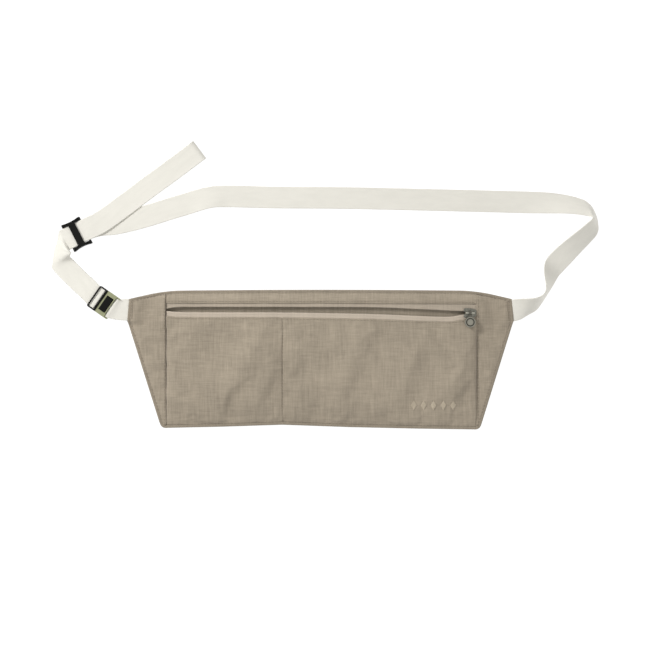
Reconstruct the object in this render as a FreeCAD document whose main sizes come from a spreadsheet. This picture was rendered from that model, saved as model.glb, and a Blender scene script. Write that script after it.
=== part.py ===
"""Money belt: a flat zipped pouch on a 20 mm waist strap, lying on its back panel.

Frame: +X along the pouch, +Y towards its top edge, +Z away from the wearer's body.
The origin is the middle of the back panel's underside. Lengths are millimetres.
"""
import FreeCAD, Part
import math
import os

import Sketcher

DIMENSIONS = [
    # pouch
    ("panel_cloth", 0.8, "thickness of the front cloth"),
    ("back_cloth", 1.0, "thickness of the back panel"),
    ("pouch_half_length", 177.3, "middle to the widest point of either end"),
    ("pouch_top", 64.4, "top edge at the middle"),
    ("pouch_corner", 4.0, "radius of the bottom corners"),
    ("left_seam", -141.6, "seam of the left side panel"),
    ("right_seam", 143.2, "seam of the right side panel"),
    ("divider", -35.0, "seam between the two pockets"),
    ("seam_gap", 0.3, "cloth edge to the middle of a seam"),
    # zip
    ("zip_plane", 5.0, "height of the middle of the zip chain"),
    ("coil_width", 2.2, "one row of the chain"),
    ("coil_height", 1.2, "one row of the chain"),
    ("tape_cloth", 0.6, "thickness of the tape"),
    ("tape_width", 6.0, "tape beside the row"),
    ("slider_length", 11.6, "along the zip"),
    ("slider_width", 8.6, "across the zip"),
    ("slider_plate", 0.9, "thickness of the slider's plates"),
    ("slider_cavity", 2.2, "between the plates"),
    ("slider_lip", 0.35, "height of the lips on the plates' sides"),
    ("slider_neck", 1.8, "width of the wedge that parts the rows"),
    ("bridge_rise", 2.7, "slider's top face to the bridge's middle"),
    ("bridge_bar", 1.3, "diameter of the bridge"),
    ("pull_disc", 10.0, "diameter of the pull's disc"),
    ("pull_plate", 1.2, "thickness of the pull"),
    ("pull_reach", 8.4, "bridge to the middle of the disc"),
    # webbing
    ("webbing_width", 20.0, "all straps"),
    ("webbing_thick", 1.1, "all straps"),
    # adjuster
    ("glide_length", 18.6, "along the strap"),
    ("glide_width", 27.0, "across the strap"),
    ("glide_slot", 20.8, "slot for the webbing"),
    ("glide_foot", 0.3, "underside of the end bars"),
    ("glide_end_top", 2.05, "top of the end bars"),
    ("glide_bar_low", 5.1, "underside of the middle bar"),
    ("glide_top", 7.1, "top of the middle bar"),
    ("glide_bar", 6.4, "width of the middle bar"),
    ("glide_end_bar", 1.9, "width of each end bar"),
    # buckle
    ("buckle_half", 11.2, "half of the buckle's width"),
    ("buckle_foot", 0.3, "underside of the housing"),
    ("buckle_top", 5.5, "top of the housing"),
    ("buckle_wall", 1.0, "side walls of both halves"),
    ("ring_top", 6.2, "top of the strap ring"),
    ("bar_height", 2.6, "middle of both strap bars"),
    ("bar_radius", 0.8, "both strap bars"),
    ("tab_half", 7.2, "half of the push tab's width"),
]

PARTS_FOLDER = "parts"
doc = FreeCAD.newDocument("money_belt")
Vector = FreeCAD.Vector


# ---------------------------------------------------------------- sheet and helpers
def fill_sheet():
    """Put every driving dimension in the spreadsheet under its alias."""
    sheet = doc.addObject("Spreadsheet::Sheet", "dimensions")
    for row, (alias, value, note) in enumerate(DIMENSIONS, start=1):
        sheet.set(f"A{row}", alias)
        sheet.set(f"B{row}", str(value))
        sheet.set(f"C{row}", note)
        sheet.setAlias(f"B{row}", alias)
    doc.recompute()
    return sheet


SHEET = fill_sheet()


def size(alias):
    """A driving dimension, read from the sheet."""
    return float(SHEET.get(alias))


def cell(formula):
    """An expression over the sheet's aliases, such as 'pouch_top - seam_gap'."""
    words = formula.replace("(", " ( ").replace(")", " ) ").split()
    return " ".join(f"dimensions.{word}" if word[0].isalpha() else word for word in words)


def lerp(points, x):
    """The height at x of a line through (x, value) points."""
    for (x0, v0), (x1, v1) in zip(points, points[1:]):
        if x <= x1:
            break
    return v0 + (v1 - v0) * (x - x0) / (x1 - x0)


def origin_plane(body, role):
    return next(item for item in body.Origin.OriginFeatures if item.Role == role)


def new_body(label):
    body = doc.addObject("PartDesign::Body", label)
    body.Label = label
    return body


def new_sketch(body, name, role="XY_Plane", lift=None):
    """A sketch on one of the body's own planes, lifted by an expression."""
    sketch = body.newObject("Sketcher::SketchObject", name)
    sketch.AttachmentSupport = [(origin_plane(body, role), "")]
    sketch.MapMode = "FlatFace"
    if lift:
        sketch.setExpression("AttachmentOffset.Base.z", cell(lift))
    return sketch


def draw_rectangle(sketch, left, right, low, high):
    """A rectangle whose four sides are set by expressions from the sketch's origin."""
    first = sketch.GeometryCount
    corners = [Vector(-1, -1), Vector(1, -1), Vector(1, 1), Vector(-1, 1)]
    for start, end in zip(corners, corners[1:] + corners[:1]):
        sketch.addGeometry(Part.LineSegment(start, end))
    for side in range(4):
        sketch.addConstraint(Sketcher.Constraint("Coincident", first + side, 2,
                                                 first + (side + 1) % 4, 1))
    for side, kind in enumerate(("Horizontal", "Vertical", "Horizontal", "Vertical")):
        sketch.addConstraint(Sketcher.Constraint(kind, first + side))
    for kind, corner, formula in (("DistanceX", 0, left), ("DistanceY", 0, low),
                                  ("DistanceX", 2, right), ("DistanceY", 2, high)):
        number = sketch.addConstraint(
            Sketcher.Constraint(kind, -1, 1, first + corner, 1, 1.0))
        sketch.setExpression(f"Constraints[{number}]", cell(formula))


def draw_outline(sketch, points):
    """A closed outline of straight sides through the points."""
    first = sketch.GeometryCount
    ends = points[1:] + points[:1]
    for start, end in zip(points, ends):
        sketch.addGeometry(Part.LineSegment(Vector(*start), Vector(*end)))
    for side in range(len(points)):
        sketch.addConstraint(Sketcher.Constraint("Coincident", first + side, 2,
                                                 first + (side + 1) % len(points), 1))
        sketch.addConstraint(Sketcher.Constraint("Block", first + side))


def draw_circle(sketch, centre, radius):
    """A circle at a fixed centre, its radius set by an expression."""
    number = sketch.addGeometry(Part.Circle(Vector(*centre), Vector(0, 0, 1), 1.0))
    for kind, value in (("DistanceX", centre[0]), ("DistanceY", centre[1])):
        sketch.addConstraint(Sketcher.Constraint(kind, -1, 1, number, 3, value))
    limit = sketch.addConstraint(Sketcher.Constraint("Radius", number, 1.0))
    sketch.setExpression(f"Constraints[{limit}]", cell(radius))


def pad(body, sketch, length, both_ways=False):
    feature = body.newObject("PartDesign::Pad", sketch.Name + "_pad")
    feature.Profile = sketch
    feature.Midplane = both_ways
    feature.setExpression("Length", cell(length))
    return feature


def pocket(body, sketch, length=None, both_ways=False, upwards=False):
    """Cut the sketch out of the body, through all of it unless a depth is given."""
    feature = body.newObject("PartDesign::Pocket", sketch.Name + "_cut")
    feature.Profile = sketch
    feature.Midplane = both_ways
    feature.Reversed = upwards
    if length:
        feature.setExpression("Length", cell(length))
    else:
        feature.Type = "ThroughAll"
    return feature


def round_edges(body, radius, wanted):
    """Round the edges of the body's last feature that the test picks."""
    doc.recompute()
    base = body.Tip
    names = [f"Edge{number}" for number, edge in enumerate(base.Shape.Edges, start=1)
             if wanted(edge)]
    feature = body.newObject("PartDesign::Fillet", body.Label + "_round")
    feature.Base = (base, names)
    feature.Radius = radius
    doc.recompute()


def runs_along(edge, axis, least=0.0):
    """True for a straight edge parallel to an axis vector and longer than least."""
    if len(edge.Vertexes) != 2 or edge.Curve.TypeId != "Part::GeomLine":
        return False
    along = edge.Vertexes[1].Point - edge.Vertexes[0].Point
    return along.Length > least and abs(along.dot(axis)) > 0.999 * along.Length


def feature(label, shape):
    """A sub-part whose shape is made by Part's own functions."""
    piece = doc.addObject("Part::Feature", label)
    piece.Label = label
    piece.Shape = shape
    piece.Placement = FreeCAD.Placement()
    return piece


def ruled_solid(rings):
    """A closed solid through rings of equal point count, with straight rulings."""
    wires = [Part.makePolygon([Vector(*point) for point in ring] + [Vector(*ring[0])])
             for ring in rings]
    return Part.makeLoft(wires, True, True)


def cloth_ring(x, line, thick):
    """A section across the pouch at x: a line of (y, underside z) given a thickness."""
    under = [(x, y, z) for y, z in line]
    over = [(x, y, z + thick) for y, z in reversed(line)]
    return under + over


# ---------------------------------------------------------------- pouch outline
TOP_FALL = 0.9           # how far the top edge drops towards each side panel
TOP_END = (175.5, 56.0)  # end of the top edge, beside the strap
END_LOW = 36.0           # lower end of the short side beside the strap
BOTTOM_EDGE = [(-146.7, -62.4), (-90.0, -61.2), (-35.0, -59.4), (27.0, -61.6),
               (90.0, -63.0), (146.7, -63.8)]


def top_edge(x):
    """Y of the pouch's top edge."""
    shoulder = size("right_seam")
    if abs(x) <= shoulder:
        return size("pouch_top") - TOP_FALL * (x / shoulder) ** 2
    start = size("pouch_top") - TOP_FALL
    return start + (TOP_END[1] - start) * (abs(x) - shoulder) / (TOP_END[0] - shoulder)


def pouch_outline():
    """The whole pouch, anticlockwise from the left bottom corner."""
    half = size("pouch_half_length")
    stations = (size("right_seam"), 95.0, 48.0, 0.0, -48.0, -95.0, size("left_seam"))
    top = [(x, top_edge(x)) for x in stations]
    right = [(half, END_LOW), TOP_END]
    left = [(-TOP_END[0], TOP_END[1]), (-half, END_LOW)]
    return BOTTOM_EDGE + right + top + left


def make_back_panel():
    body = new_body("back_panel")
    sketch = new_sketch(body, "back_outline")
    draw_outline(sketch, pouch_outline())
    pad(body, sketch, "back_cloth")
    round_edges(body, size("pouch_corner"), lambda edge: (
        runs_along(edge, Vector(0, 0, 1)) and edge.Vertexes[0].X ** 2 > 140.0 ** 2
        and edge.Vertexes[0].Y < -50.0))
    return body


# ---------------------------------------------------------------- zip line
# The edges of the zip's mouth, as (x, y) along the pouch. They lie 4 to 5 mm apart,
# and close up where the slider stands at the right and at the left seam.
MOUTH_LOW = [(-141.3, 45.2), (-133.0, 44.3), (-110.0, 43.9), (-40.0, 43.8), (0.0, 43.2),
             (50.0, 42.2), (100.0, 40.2), (120.0, 40.0), (127.5, 41.3), (131.5, 41.7),
             (135.0, 42.0), (137.8, 42.9), (142.9, 43.0)]
MOUTH_HIGH = [(-141.3, 47.0), (-133.0, 48.3), (-110.0, 48.6), (-40.0, 48.6), (0.0, 48.5),
              (50.0, 48.2), (100.0, 46.2), (120.0, 45.2), (127.5, 44.9), (131.5, 44.7),
              (135.0, 44.4), (137.8, 43.4), (142.9, 43.2)]
SLIDER_AT = (137.0, 43.2)
SLIDER_FAR = (-128.0, 46.3)      # where the slider stands when the zip is shut
LOW_BAND = 4.6                   # lower tape that shows below the mouth
HIGH_HEM = [(-141.3, 52.2), (0.0, 52.2), (142.9, 51.4)]   # lower edge of the upper strip
COIL_GAP = 0.1                   # between two lengths of a row


def zip_stations():
    return [x for x, _ in MOUTH_LOW]


def zip_strip(near, far, low, high):
    """A flat strip along the zip between two distances from a mouth edge."""
    rings = []
    for x in zip_stations():
        y0, y1 = near(x), far(x)
        rings.append([(x, y0, low), (x, y1, low), (x, y1, high), (x, y0, high)])
    return ruled_solid(rings)


def coil_row(near, far, low, high):
    """The row of coils as straight lengths, each a hair short of its neighbour."""
    lengths = []
    for start, end in zip(zip_stations(), zip_stations()[1:]):
        rings = []
        for x in (start + COIL_GAP / 2, end - COIL_GAP / 2):
            y0, y1 = near(x), far(x)
            rings.append([(x, y0, low), (x, y1, low), (x, y1, high), (x, y0, high)])
        lengths.append(ruled_solid(rings))
    return Part.makeCompound(lengths)


def make_zip():
    """Two tapes with a row of coil each. The coil lies at the mouth's edge."""
    plane = size("zip_plane")
    half_coil = size("coil_height") / 2
    half_tape = size("tape_cloth") / 2
    coil = size("coil_width")
    tape = coil + size("tape_width")
    for side, edge, away in (("lower", MOUTH_LOW, -1), ("upper", MOUTH_HIGH, 1)):
        def from_edge(distance, edge=edge, away=away):
            return lambda x: lerp(edge, x) + away * distance
        feature(f"zip_coil_{side}", coil_row(from_edge(0), from_edge(coil),
                                             plane - half_coil, plane + half_coil))
        feature(f"zip_tape_{side}", zip_strip(from_edge(coil), from_edge(tape),
                                              plane - half_tape, plane + half_tape))


# ---------------------------------------------------------------- front of the pouch
HEM = 1.6                # bottom edge of the pouch to the front cloth's edge
SEAM_HEIGHT = 1.1        # underside of the front cloth where it is sewn down
FULL_HEIGHT = 6.2        # underside of the front cloth over a pocket
# Swelling of a pocket from its bottom to its lip: (share of the way up, share of the rise).
BELLY = [(0.0, 0.0), (0.07, 0.6), (0.16, 0.9), (0.45, 1.0), (0.75, 1.0), (0.9, 0.96)]
LIP_HEIGHT = 5.4         # underside of the cloth where it covers a tape's edge
TAPE_COVER = 3.8         # how far the cloth lies level over the lower tape
SIDE_HEM = 2.2           # bottom corner of the pouch to a side panel's lower edge
SIDE_LOFT = 0.5          # how much a side panel lifts away from its seam
RISE_START, RISE_END = 158.0, 176.0    # where a side panel climbs over its strap


def pocket_ring(x, fullness):
    """Section of a pocket's front at x; fullness is 0 at a side seam and 1 inside."""
    low = lerp(BOTTOM_EDGE, x) + HEM
    lip = lerp(MOUTH_LOW, x) - LOW_BAND
    span = lip - low
    line = [(low + share * span, SEAM_HEIGHT + fullness * rise * (FULL_HEIGHT - SEAM_HEIGHT))
            for share, rise in BELLY]
    line += [(lip - TAPE_COVER, LIP_HEIGHT), (lip, LIP_HEIGHT)]
    return cloth_ring(x, line, size("panel_cloth"))


def make_front_panels():
    """The pocket fronts, pinched down at the seams on either side of each pocket."""
    gap = size("seam_gap")
    spans = {
        "front_panel_left": (size("left_seam") + gap, size("divider") - gap),
        "front_panel_right": (size("divider") + gap, size("right_seam") - gap),
    }
    for label, (left, right) in spans.items():
        stations = [(left, 0.0), (left + 4, 0.6), (left + 12, 0.95), (left + 30, 1.0),
                    (right - 30, 1.0), (right - 12, 0.95), (right - 4, 0.6), (right, 0.0)]
        feature(label, ruled_solid([pocket_ring(x, full) for x, full in stations]))


def make_upper_strip():
    """The strip of front cloth between the zip and the top edge."""
    rings = []
    for x in (-141.3, -120.0, -60.0, 0.0, 60.0, 120.0, 142.9):
        hem, top = lerp(HIGH_HEM, x), top_edge(x) - 0.8
        line = [(hem, LIP_HEIGHT), (hem + 4.8, LIP_HEIGHT), (top - 1.6, 2.6),
                (top, SEAM_HEIGHT)]
        rings.append(cloth_ring(x, line, size("panel_cloth")))
    feature("upper_front_strip", ruled_solid(rings))


def side_ring(x, seam_side, strap_layers):
    """Section of a side panel at x. It rises over the strap that is sewn in its end."""
    corner_x, corner_y = abs(BOTTOM_EDGE[0][0]), BOTTOM_EDGE[0][1]
    slope = (size("pouch_half_length") - corner_x) / (END_LOW - corner_y)
    low = corner_y + SIDE_HEM + max(0.0, (abs(x) - corner_x + 0.7) / slope)
    top = top_edge(x) - 0.8
    strap_top = SEAM_HEIGHT + strap_layers * (size("webbing_thick") + 0.1)
    end_share = max(0.0, (abs(x) - RISE_START) / (RISE_END - RISE_START))
    height = SEAM_HEIGHT + end_share * (strap_top - SEAM_HEIGHT)
    if not seam_side:
        height += SIDE_LOFT
    line = [(low, SEAM_HEIGHT)]
    line += [(low + share * (top - low), height) for share in (0.08, 0.5, 0.97, 1.0)]
    return cloth_ring(x, line, size("panel_cloth"))


def make_side_panels():
    """Flat ends of the pouch, outside the pockets; the straps are sewn into them."""
    for label, seam, sign, layers in (("left_side_panel", size("left_seam"), -1, 2),
                                      ("right_side_panel", size("right_seam"), 1, 1)):
        start = abs(seam) + size("seam_gap")
        stations = (start, start + 5.0, 158.0, 168.0, 175.0)
        rings = [side_ring(sign * x, x == start, layers) for x in stations]
        feature(label, ruled_solid(rings))


def make_hem():
    """The turned bottom edge, a folded strip along the back panel's lower edge."""
    stations = [-141.0] + [x for x, _ in BOTTOM_EDGE[1:-1]] + [141.0]
    rings = []
    for x in stations:
        edge = lerp(BOTTOM_EDGE, x)
        line = [(edge + 0.1, SEAM_HEIGHT), (edge + 1.4, SEAM_HEIGHT)]
        rings.append(cloth_ring(x, line, size("panel_cloth")))
    feature("bottom_hem", ruled_solid(rings))


# ---------------------------------------------------------------- seams and stitching
THREAD = 0.5
LEFT_TACK = (-173.4, 46.4, 4.75)       # middle of each bar tack, and its underside
RIGHT_TACK = (171.8, 44.6, 3.5)
MOTIF_AT, MOTIF_PITCH = (103.5, -41.4), 9.0
MOTIF_HALF = (3.0, 4.4)                # half of a lozenge's width and of its height
MOTIF_HEIGHT = 0.4


def thread_row(label, points):
    """A row of stitching as one thin raised bead along (x, y, z) points."""
    rings = []
    for x, y, z in points:
        rings.append([(x, y, z), (x + THREAD, y, z), (x + THREAD, y, z + 0.3), (x, y, z + 0.3)])
    feature(label, ruled_solid(rings))


def bar_tack(label, x, y, z):
    """A dense block of thread across a strap's sewn end."""
    block = doc.addObject("Part::Box", label)
    block.Label = label
    block.setExpression("Width", cell("webbing_width - 3"))
    block.Length = 1.6
    block.Height = 0.4
    block.Placement = FreeCAD.Placement(
        Vector(x, y - (size("webbing_width") - 3) / 2, z), FreeCAD.Rotation())


def make_stitching():
    low = BOTTOM_EDGE[2][1] + 3.0
    thread_row("divider_stitching", [(size("divider") - THREAD / 2, y, SEAM_HEIGHT)
                                     for y in (low, 0.0, 30.0)])
    bar_tack("left_strap_bar_tack", *LEFT_TACK)
    bar_tack("right_strap_bar_tack", *RIGHT_TACK)


def pocket_top(x, y):
    """Height of a pocket's outer face well away from its seams."""
    low = lerp(BOTTOM_EDGE, x) + HEM
    share = (y - low) / (lerp(MOUTH_LOW, x) - LOW_BAND - low)
    return SEAM_HEIGHT + lerp(BELLY, share) * (FULL_HEIGHT - SEAM_HEIGHT) + size("panel_cloth")


def make_motif():
    """A small stitched ornament on the right pocket: a row of five lozenges."""
    wide, tall = MOTIF_HALF
    lozenges = []
    for number in range(-2, 3):
        x, y = MOTIF_AT[0] + number * MOTIF_PITCH, MOTIF_AT[1]
        low, high = (pocket_top(x, y + step) + 0.05 for step in (-tall, tall))
        middle = (low + high) / 2
        corners = [Vector(x - wide, y, middle), Vector(x, y - tall, low),
                   Vector(x + wide, y, middle), Vector(x, y + tall, high)]
        face = Part.Face(Part.makePolygon(corners + corners[:1]))
        lozenges.append(face.extrude(Vector(0, 0, MOTIF_HEIGHT)))
    feature("embroidered_motif", Part.makeCompound(lozenges))


# ---------------------------------------------------------------- zip slider and pull
def placed(body, at, turn):
    """Put a body's own origin at a point, turned about +Z by an angle in degrees."""
    body.Placement = FreeCAD.Placement(Vector(*at), FreeCAD.Rotation(Vector(0, 0, 1), turn))
    return body


def slide_direction():
    """Unit vector from the slider's open end towards the shut end."""
    run = Vector(SLIDER_FAR[0] - SLIDER_AT[0], SLIDER_FAR[1] - SLIDER_AT[1], 0)
    return run.normalize()


def slider_turn():
    along = slide_direction()
    return math.degrees(math.atan2(-along.y, -along.x))


def make_slider():
    """Two plates joined by a wedge, with a bridge along the top for the pull.

    The body's own +X points at the joined rows and its z = 0 is the zip's plane.
    """
    body = new_body("zip_slider")
    long_half, wide_half = size("slider_length") / 2, size("slider_width") / 2
    shield = [(-long_half, -wide_half + 0.9), (-long_half + 0.9, -wide_half),
              (0.5, -wide_half), (long_half - 0.8, -wide_half + 1.1),
              (long_half, -wide_half + 2.0), (long_half, wide_half - 2.0),
              (long_half - 0.8, wide_half - 1.1), (0.5, wide_half),
              (-long_half + 0.9, wide_half), (-long_half, wide_half - 0.9),
              (-long_half + 0.4, 1.6), (-long_half + 1.4, 0.0), (-long_half + 0.4, -1.6)]
    whole = new_sketch(body, "slider_outline")
    draw_outline(whole, shield)
    pad(body, whole, "slider_cavity + slider_plate * 2", both_ways=True)

    throat = new_sketch(body, "slider_throat", role="YZ_Plane")
    draw_rectangle(throat, "slider_width / -2 + 0.45",
                   "slider_width / 2 - 0.45", "slider_cavity * -0.5", "slider_cavity / 2")
    pocket(body, throat, both_ways=True)
    sides = new_sketch(body, "slider_sides", role="YZ_Plane")
    for left, right in (("slider_width * -1", "slider_width / -2 + 0.5"),
                        ("slider_width / 2 - 0.5", "slider_width")):
        draw_rectangle(sides, left, right, "slider_lip - slider_cavity / 2",
                       "slider_cavity / 2 - slider_lip")
    pocket(body, sides, both_ways=True)

    wedge = new_sketch(body, "slider_wedge")
    neck = size("slider_neck") / 2
    draw_outline(wedge, [(-4.5, 0.0), (-3.2, -neck), (-1.2, 0.0), (-3.2, neck)])
    pad(body, wedge, "slider_cavity + slider_plate", both_ways=True)

    bridge = new_sketch(body, "slider_bridge", role="XZ_Plane")
    top = size("slider_cavity") / 2 + size("slider_plate") * 0.5
    crown = size("slider_cavity") / 2 + size("slider_plate") + size("bridge_rise")
    half_bar = size("bridge_bar") / 2
    draw_outline(bridge, [(-4.6, top), (-3.3, top), (-3.1, crown - half_bar),
                          (3.1, crown - half_bar), (3.3, top), (4.6, top),
                          (4.1, crown), (3.2, crown + half_bar),
                          (-3.2, crown + half_bar), (-4.1, crown)])
    pad(body, bridge, "bridge_bar", both_ways=True)
    return placed(body, (*SLIDER_AT, size("zip_plane")), slider_turn())


def make_pull():
    """An eye round the bridge with a disc hanging from it towards -Y."""
    body = new_body("zip_pull")
    reach = size("pull_reach")
    disc = new_sketch(body, "pull_disc_outline")
    draw_circle(disc, (0.0, -reach), "pull_disc / 2")
    pad(body, disc, "pull_plate", both_ways=True)
    neck = new_sketch(body, "pull_neck")
    draw_outline(neck, [(-1.2, -1.0), (1.2, -1.0), (2.2, -reach + 3.4), (-2.2, -reach + 3.4)])
    pad(body, neck, "pull_plate", both_ways=True)
    eye = new_sketch(body, "pull_eye", role="YZ_Plane")
    draw_circle(eye, (0.0, 0.0), "bridge_bar / 2 + 1.1")
    pad(body, eye, "bridge_bar + 1.1", both_ways=True)
    hole = new_sketch(body, "pull_hole", role="YZ_Plane")
    draw_circle(hole, (0.0, 0.0), "bridge_bar / 2 + 0.42")
    pocket(body, hole, both_ways=True)
    groove = new_sketch(body, "pull_groove", lift="pull_plate / 2")
    draw_circle(groove, (0.0, -reach), "pull_disc / 2 - 1.3")
    draw_circle(groove, (0.0, -reach), "pull_disc / 2 - 2.1")
    pocket(body, groove, "pull_plate / 3")
    height = (size("zip_plane") + size("slider_cavity") / 2 + size("slider_plate")
              + size("bridge_rise"))
    return placed(body, (*SLIDER_AT, height), slider_turn())


# ---------------------------------------------------------------- adjuster on the strap
GLIDE_AT = (-223.8, 115.4)
GLIDE_TURN = 27.0
GLIDE_ROUND = 0.5        # radius of the middle bar's long edges


def make_glide():
    """Frame with two low end bars and a raised middle bar; the webbing runs between."""
    body = new_body("tri_glide")
    profile = new_sketch(body, "glide_profile", role="XZ_Plane")
    half, foot, top = size("glide_length") / 2, size("glide_foot"), size("glide_top")
    draw_outline(profile, [(-half, foot), (half, foot), (half, 3.4), (half - 1.2, 4.9),
                           (4.6, 6.3), (3.2, top), (-3.2, top), (-4.6, 6.3),
                           (-half + 1.2, 4.9), (-half, 3.4)])
    pad(body, profile, "glide_width", both_ways=True)
    channel = new_sketch(body, "glide_channel", role="YZ_Plane")
    draw_rectangle(channel, "glide_slot / -2", "glide_slot / 2", "glide_end_top",
                   "glide_bar_low")
    pocket(body, channel, both_ways=True)
    above = new_sketch(body, "glide_above", lift="glide_end_top")
    for left, right in (("glide_length * -1", "glide_bar / -2"),
                        ("glide_bar / 2", "glide_length")):
        draw_rectangle(above, left, right, "glide_slot / -2", "glide_slot / 2")
    pocket(body, above, "glide_top", upwards=True)
    below = new_sketch(body, "glide_below")
    draw_rectangle(below, "glide_length / -2 + glide_end_bar",
                   "glide_length / 2 - glide_end_bar", "glide_slot / -2", "glide_slot / 2")
    pocket(body, below, "glide_end_top + 0.5", upwards=True)
    waist = new_sketch(body, "glide_waist")
    for sign in (-1, 1):
        draw_circle(waist, (0.0, sign * (size("glide_width") / 2 + 28.6)), "glide_foot + 29.3")
    pocket(body, waist, both_ways=True)
    round_edges(body, GLIDE_ROUND, lambda edge: (
        runs_along(edge, Vector(0, 1, 0), 15.0)
        and edge.Vertexes[0].Z > size("glide_bar_low") - 0.1))
    return placed(body, (*GLIDE_AT, 0.0), GLIDE_TURN)


# ---------------------------------------------------------------- buckle
BUCKLE_AT = (-198.3, 52.4)
BUCKLE_TURN = -34.7
RING_BACK, RING_FRONT = -12.0, -3.4
RING_BAR = -7.2
HOUSING_FRONT, HOUSING_BACK = -3.2, 7.0
HOUSING_BAR = 8.9
TIP_END = 10.4
TAB_HINGE = -2.2


def add_bar(body, name, x):
    """A round bar across the body at x, at the strap bars' height."""
    sketch = new_sketch(body, name, role="XZ_Plane")
    draw_circle(sketch, (x, size("bar_height")), "bar_radius")
    pad(body, sketch, "buckle_half * 2 - buckle_wall", both_ways=True)


def make_male_half():
    """A ring that holds the strap's loop, and a tongue that plugs into the housing."""
    body = new_body("buckle_male_half")
    half = size("buckle_half")
    ring = new_sketch(body, "ring_outline", lift="bar_height - bar_radius")
    draw_outline(ring, [(RING_BACK, -half + 1.4), (RING_BACK + 0.4, -half + 0.4),
                        (RING_BACK + 1.4, -half), (RING_FRONT, -half), (RING_FRONT, half),
                        (RING_BACK + 1.4, half), (RING_BACK + 0.4, half - 0.4),
                        (RING_BACK, half - 1.4)])
    pad(body, ring, "ring_top - bar_height + bar_radius")
    window = new_sketch(body, "ring_window")
    draw_rectangle(window, "-10.7", "-4.9", "buckle_wall - buckle_half",
                   "buckle_half - buckle_wall")
    pocket(body, window, both_ways=True)
    under = new_sketch(body, "ring_underpass")
    draw_rectangle(under, "-13.5", "-10.5", "buckle_wall - buckle_half",
                   "buckle_half - buckle_wall")
    pocket(body, under, "bar_height + 2.35", upwards=True)
    doc.recompute()
    add_bar(body, "ring_bar", RING_BAR)

    tongue = new_sketch(body, "tongue_outline", lift="bar_height - bar_radius + 0.1")
    reach = HOUSING_BACK - 0.7
    draw_outline(tongue, [(RING_FRONT - 1.2, -9.8), (reach - 1.0, -9.8), (reach, -8.8),
                          (reach, 8.8), (reach - 1.0, 9.8), (RING_FRONT - 1.2, 9.8)])
    pad(body, tongue, "1.5")
    slot = new_sketch(body, "tongue_window")
    draw_rectangle(slot, str(TAB_HINGE - 0.7), "5.45", "tab_half * -1 - 0.3", "tab_half + 0.3")
    pocket(body, slot, "bar_height + 1.2", upwards=True)
    return placed(body, (*BUCKLE_AT, 0.0), BUCKLE_TURN)


def make_push_tab():
    """The springy tab between the tongue's legs: pressing it frees the tongue."""
    body = new_body("buckle_push_tab")
    side = new_sketch(body, "tab_profile", role="XZ_Plane")
    draw_outline(side, [(TAB_HINGE - 0.5, 2.8), (5.2, 2.8), (5.2, 5.5), (4.7, 5.95),
                        (-0.7, 5.95), (-1.2, 5.5), (-1.2, 3.7), (TAB_HINGE - 0.5, 3.7)])
    pad(body, side, "tab_half * 2", both_ways=True)
    return placed(body, (*BUCKLE_AT, 0.0), BUCKLE_TURN)


def make_housing():
    """The housing that takes the tongue, with a window for the tab and a strap bar."""
    body = new_body("buckle_housing")
    half = size("buckle_half")
    outline = new_sketch(body, "housing_outline", lift="buckle_foot")
    draw_outline(outline, [(HOUSING_FRONT, -half), (TIP_END - 0.6, -half),
                           (TIP_END, -half + 0.5), (TIP_END, half - 0.5),
                           (TIP_END - 0.6, half), (HOUSING_FRONT, half)])
    pad(body, outline, "buckle_top - buckle_foot")
    mouth = new_sketch(body, "housing_mouth", role="YZ_Plane")
    draw_rectangle(mouth, "buckle_wall - buckle_half", "buckle_half - buckle_wall",
                   "bar_height - 1.1", "bar_height + 1.5")
    pocket(body, mouth, both_ways=True)
    window = new_sketch(body, "housing_window", lift="bar_height")
    draw_rectangle(window, "-1.5", "5.5", "tab_half * -1 - 0.3", "tab_half + 0.3")
    pocket(body, window, "buckle_top", upwards=True)
    bay = new_sketch(body, "housing_strap_bay")
    draw_outline(bay, [(HOUSING_BACK, -10.2), (TIP_END + 1, -10.2), (TIP_END + 1, 10.2),
                       (HOUSING_BACK, 10.2), (HOUSING_BACK - 0.6, 6.0),
                       (HOUSING_BACK - 0.8, 0.0), (HOUSING_BACK - 0.6, -6.0)])
    pocket(body, bay, both_ways=True)
    doc.recompute()
    add_bar(body, "housing_bar", HOUSING_BAR)
    return placed(body, (*BUCKLE_AT, 0.0), BUCKLE_TURN)


# ---------------------------------------------------------------- webbing
# A route is a list of (x, y, height of the lowest edge, tilt in degrees). A positive
# tilt lifts the edge on the left of the direction of travel.
STRAP_TWIST = [(171.6, 43.9, 1.1, 0), (178.5, 45.6, 1.1, 0), (186.0, 47.3, 0.3, 4),
               (192.6, 49.3, 0.1, 20), (198.0, 51.6, 0.1, 46), (202.6, 55.0, 0.1, 66),
               (206.2, 60.0, 0.1, 76), (208.4, 66.0, 0.1, 74), (210.2, 74.0, 0.1, 53),
               (212.8, 83.0, 0.1, 28), (218.5, 91.5, 0.1, 9), (226.0, 98.4, 0.1, 0)]
STRAP_TURN = [(226.0, 98.4, 0.1, 0), (234.0, 104.6, 0.1, 0), (243.0, 113.6, 0.1, 14),
              (249.6, 121.8, 0.1, 40), (253.0, 128.4, 0.1, 62), (252.4, 134.4, 0.1, 68),
              (247.4, 138.4, 0.1, 60), (239.5, 140.9, 0.1, 42), (229.0, 142.6, 0.1, 18),
              (217.0, 143.7, 0.1, 0)]
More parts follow.
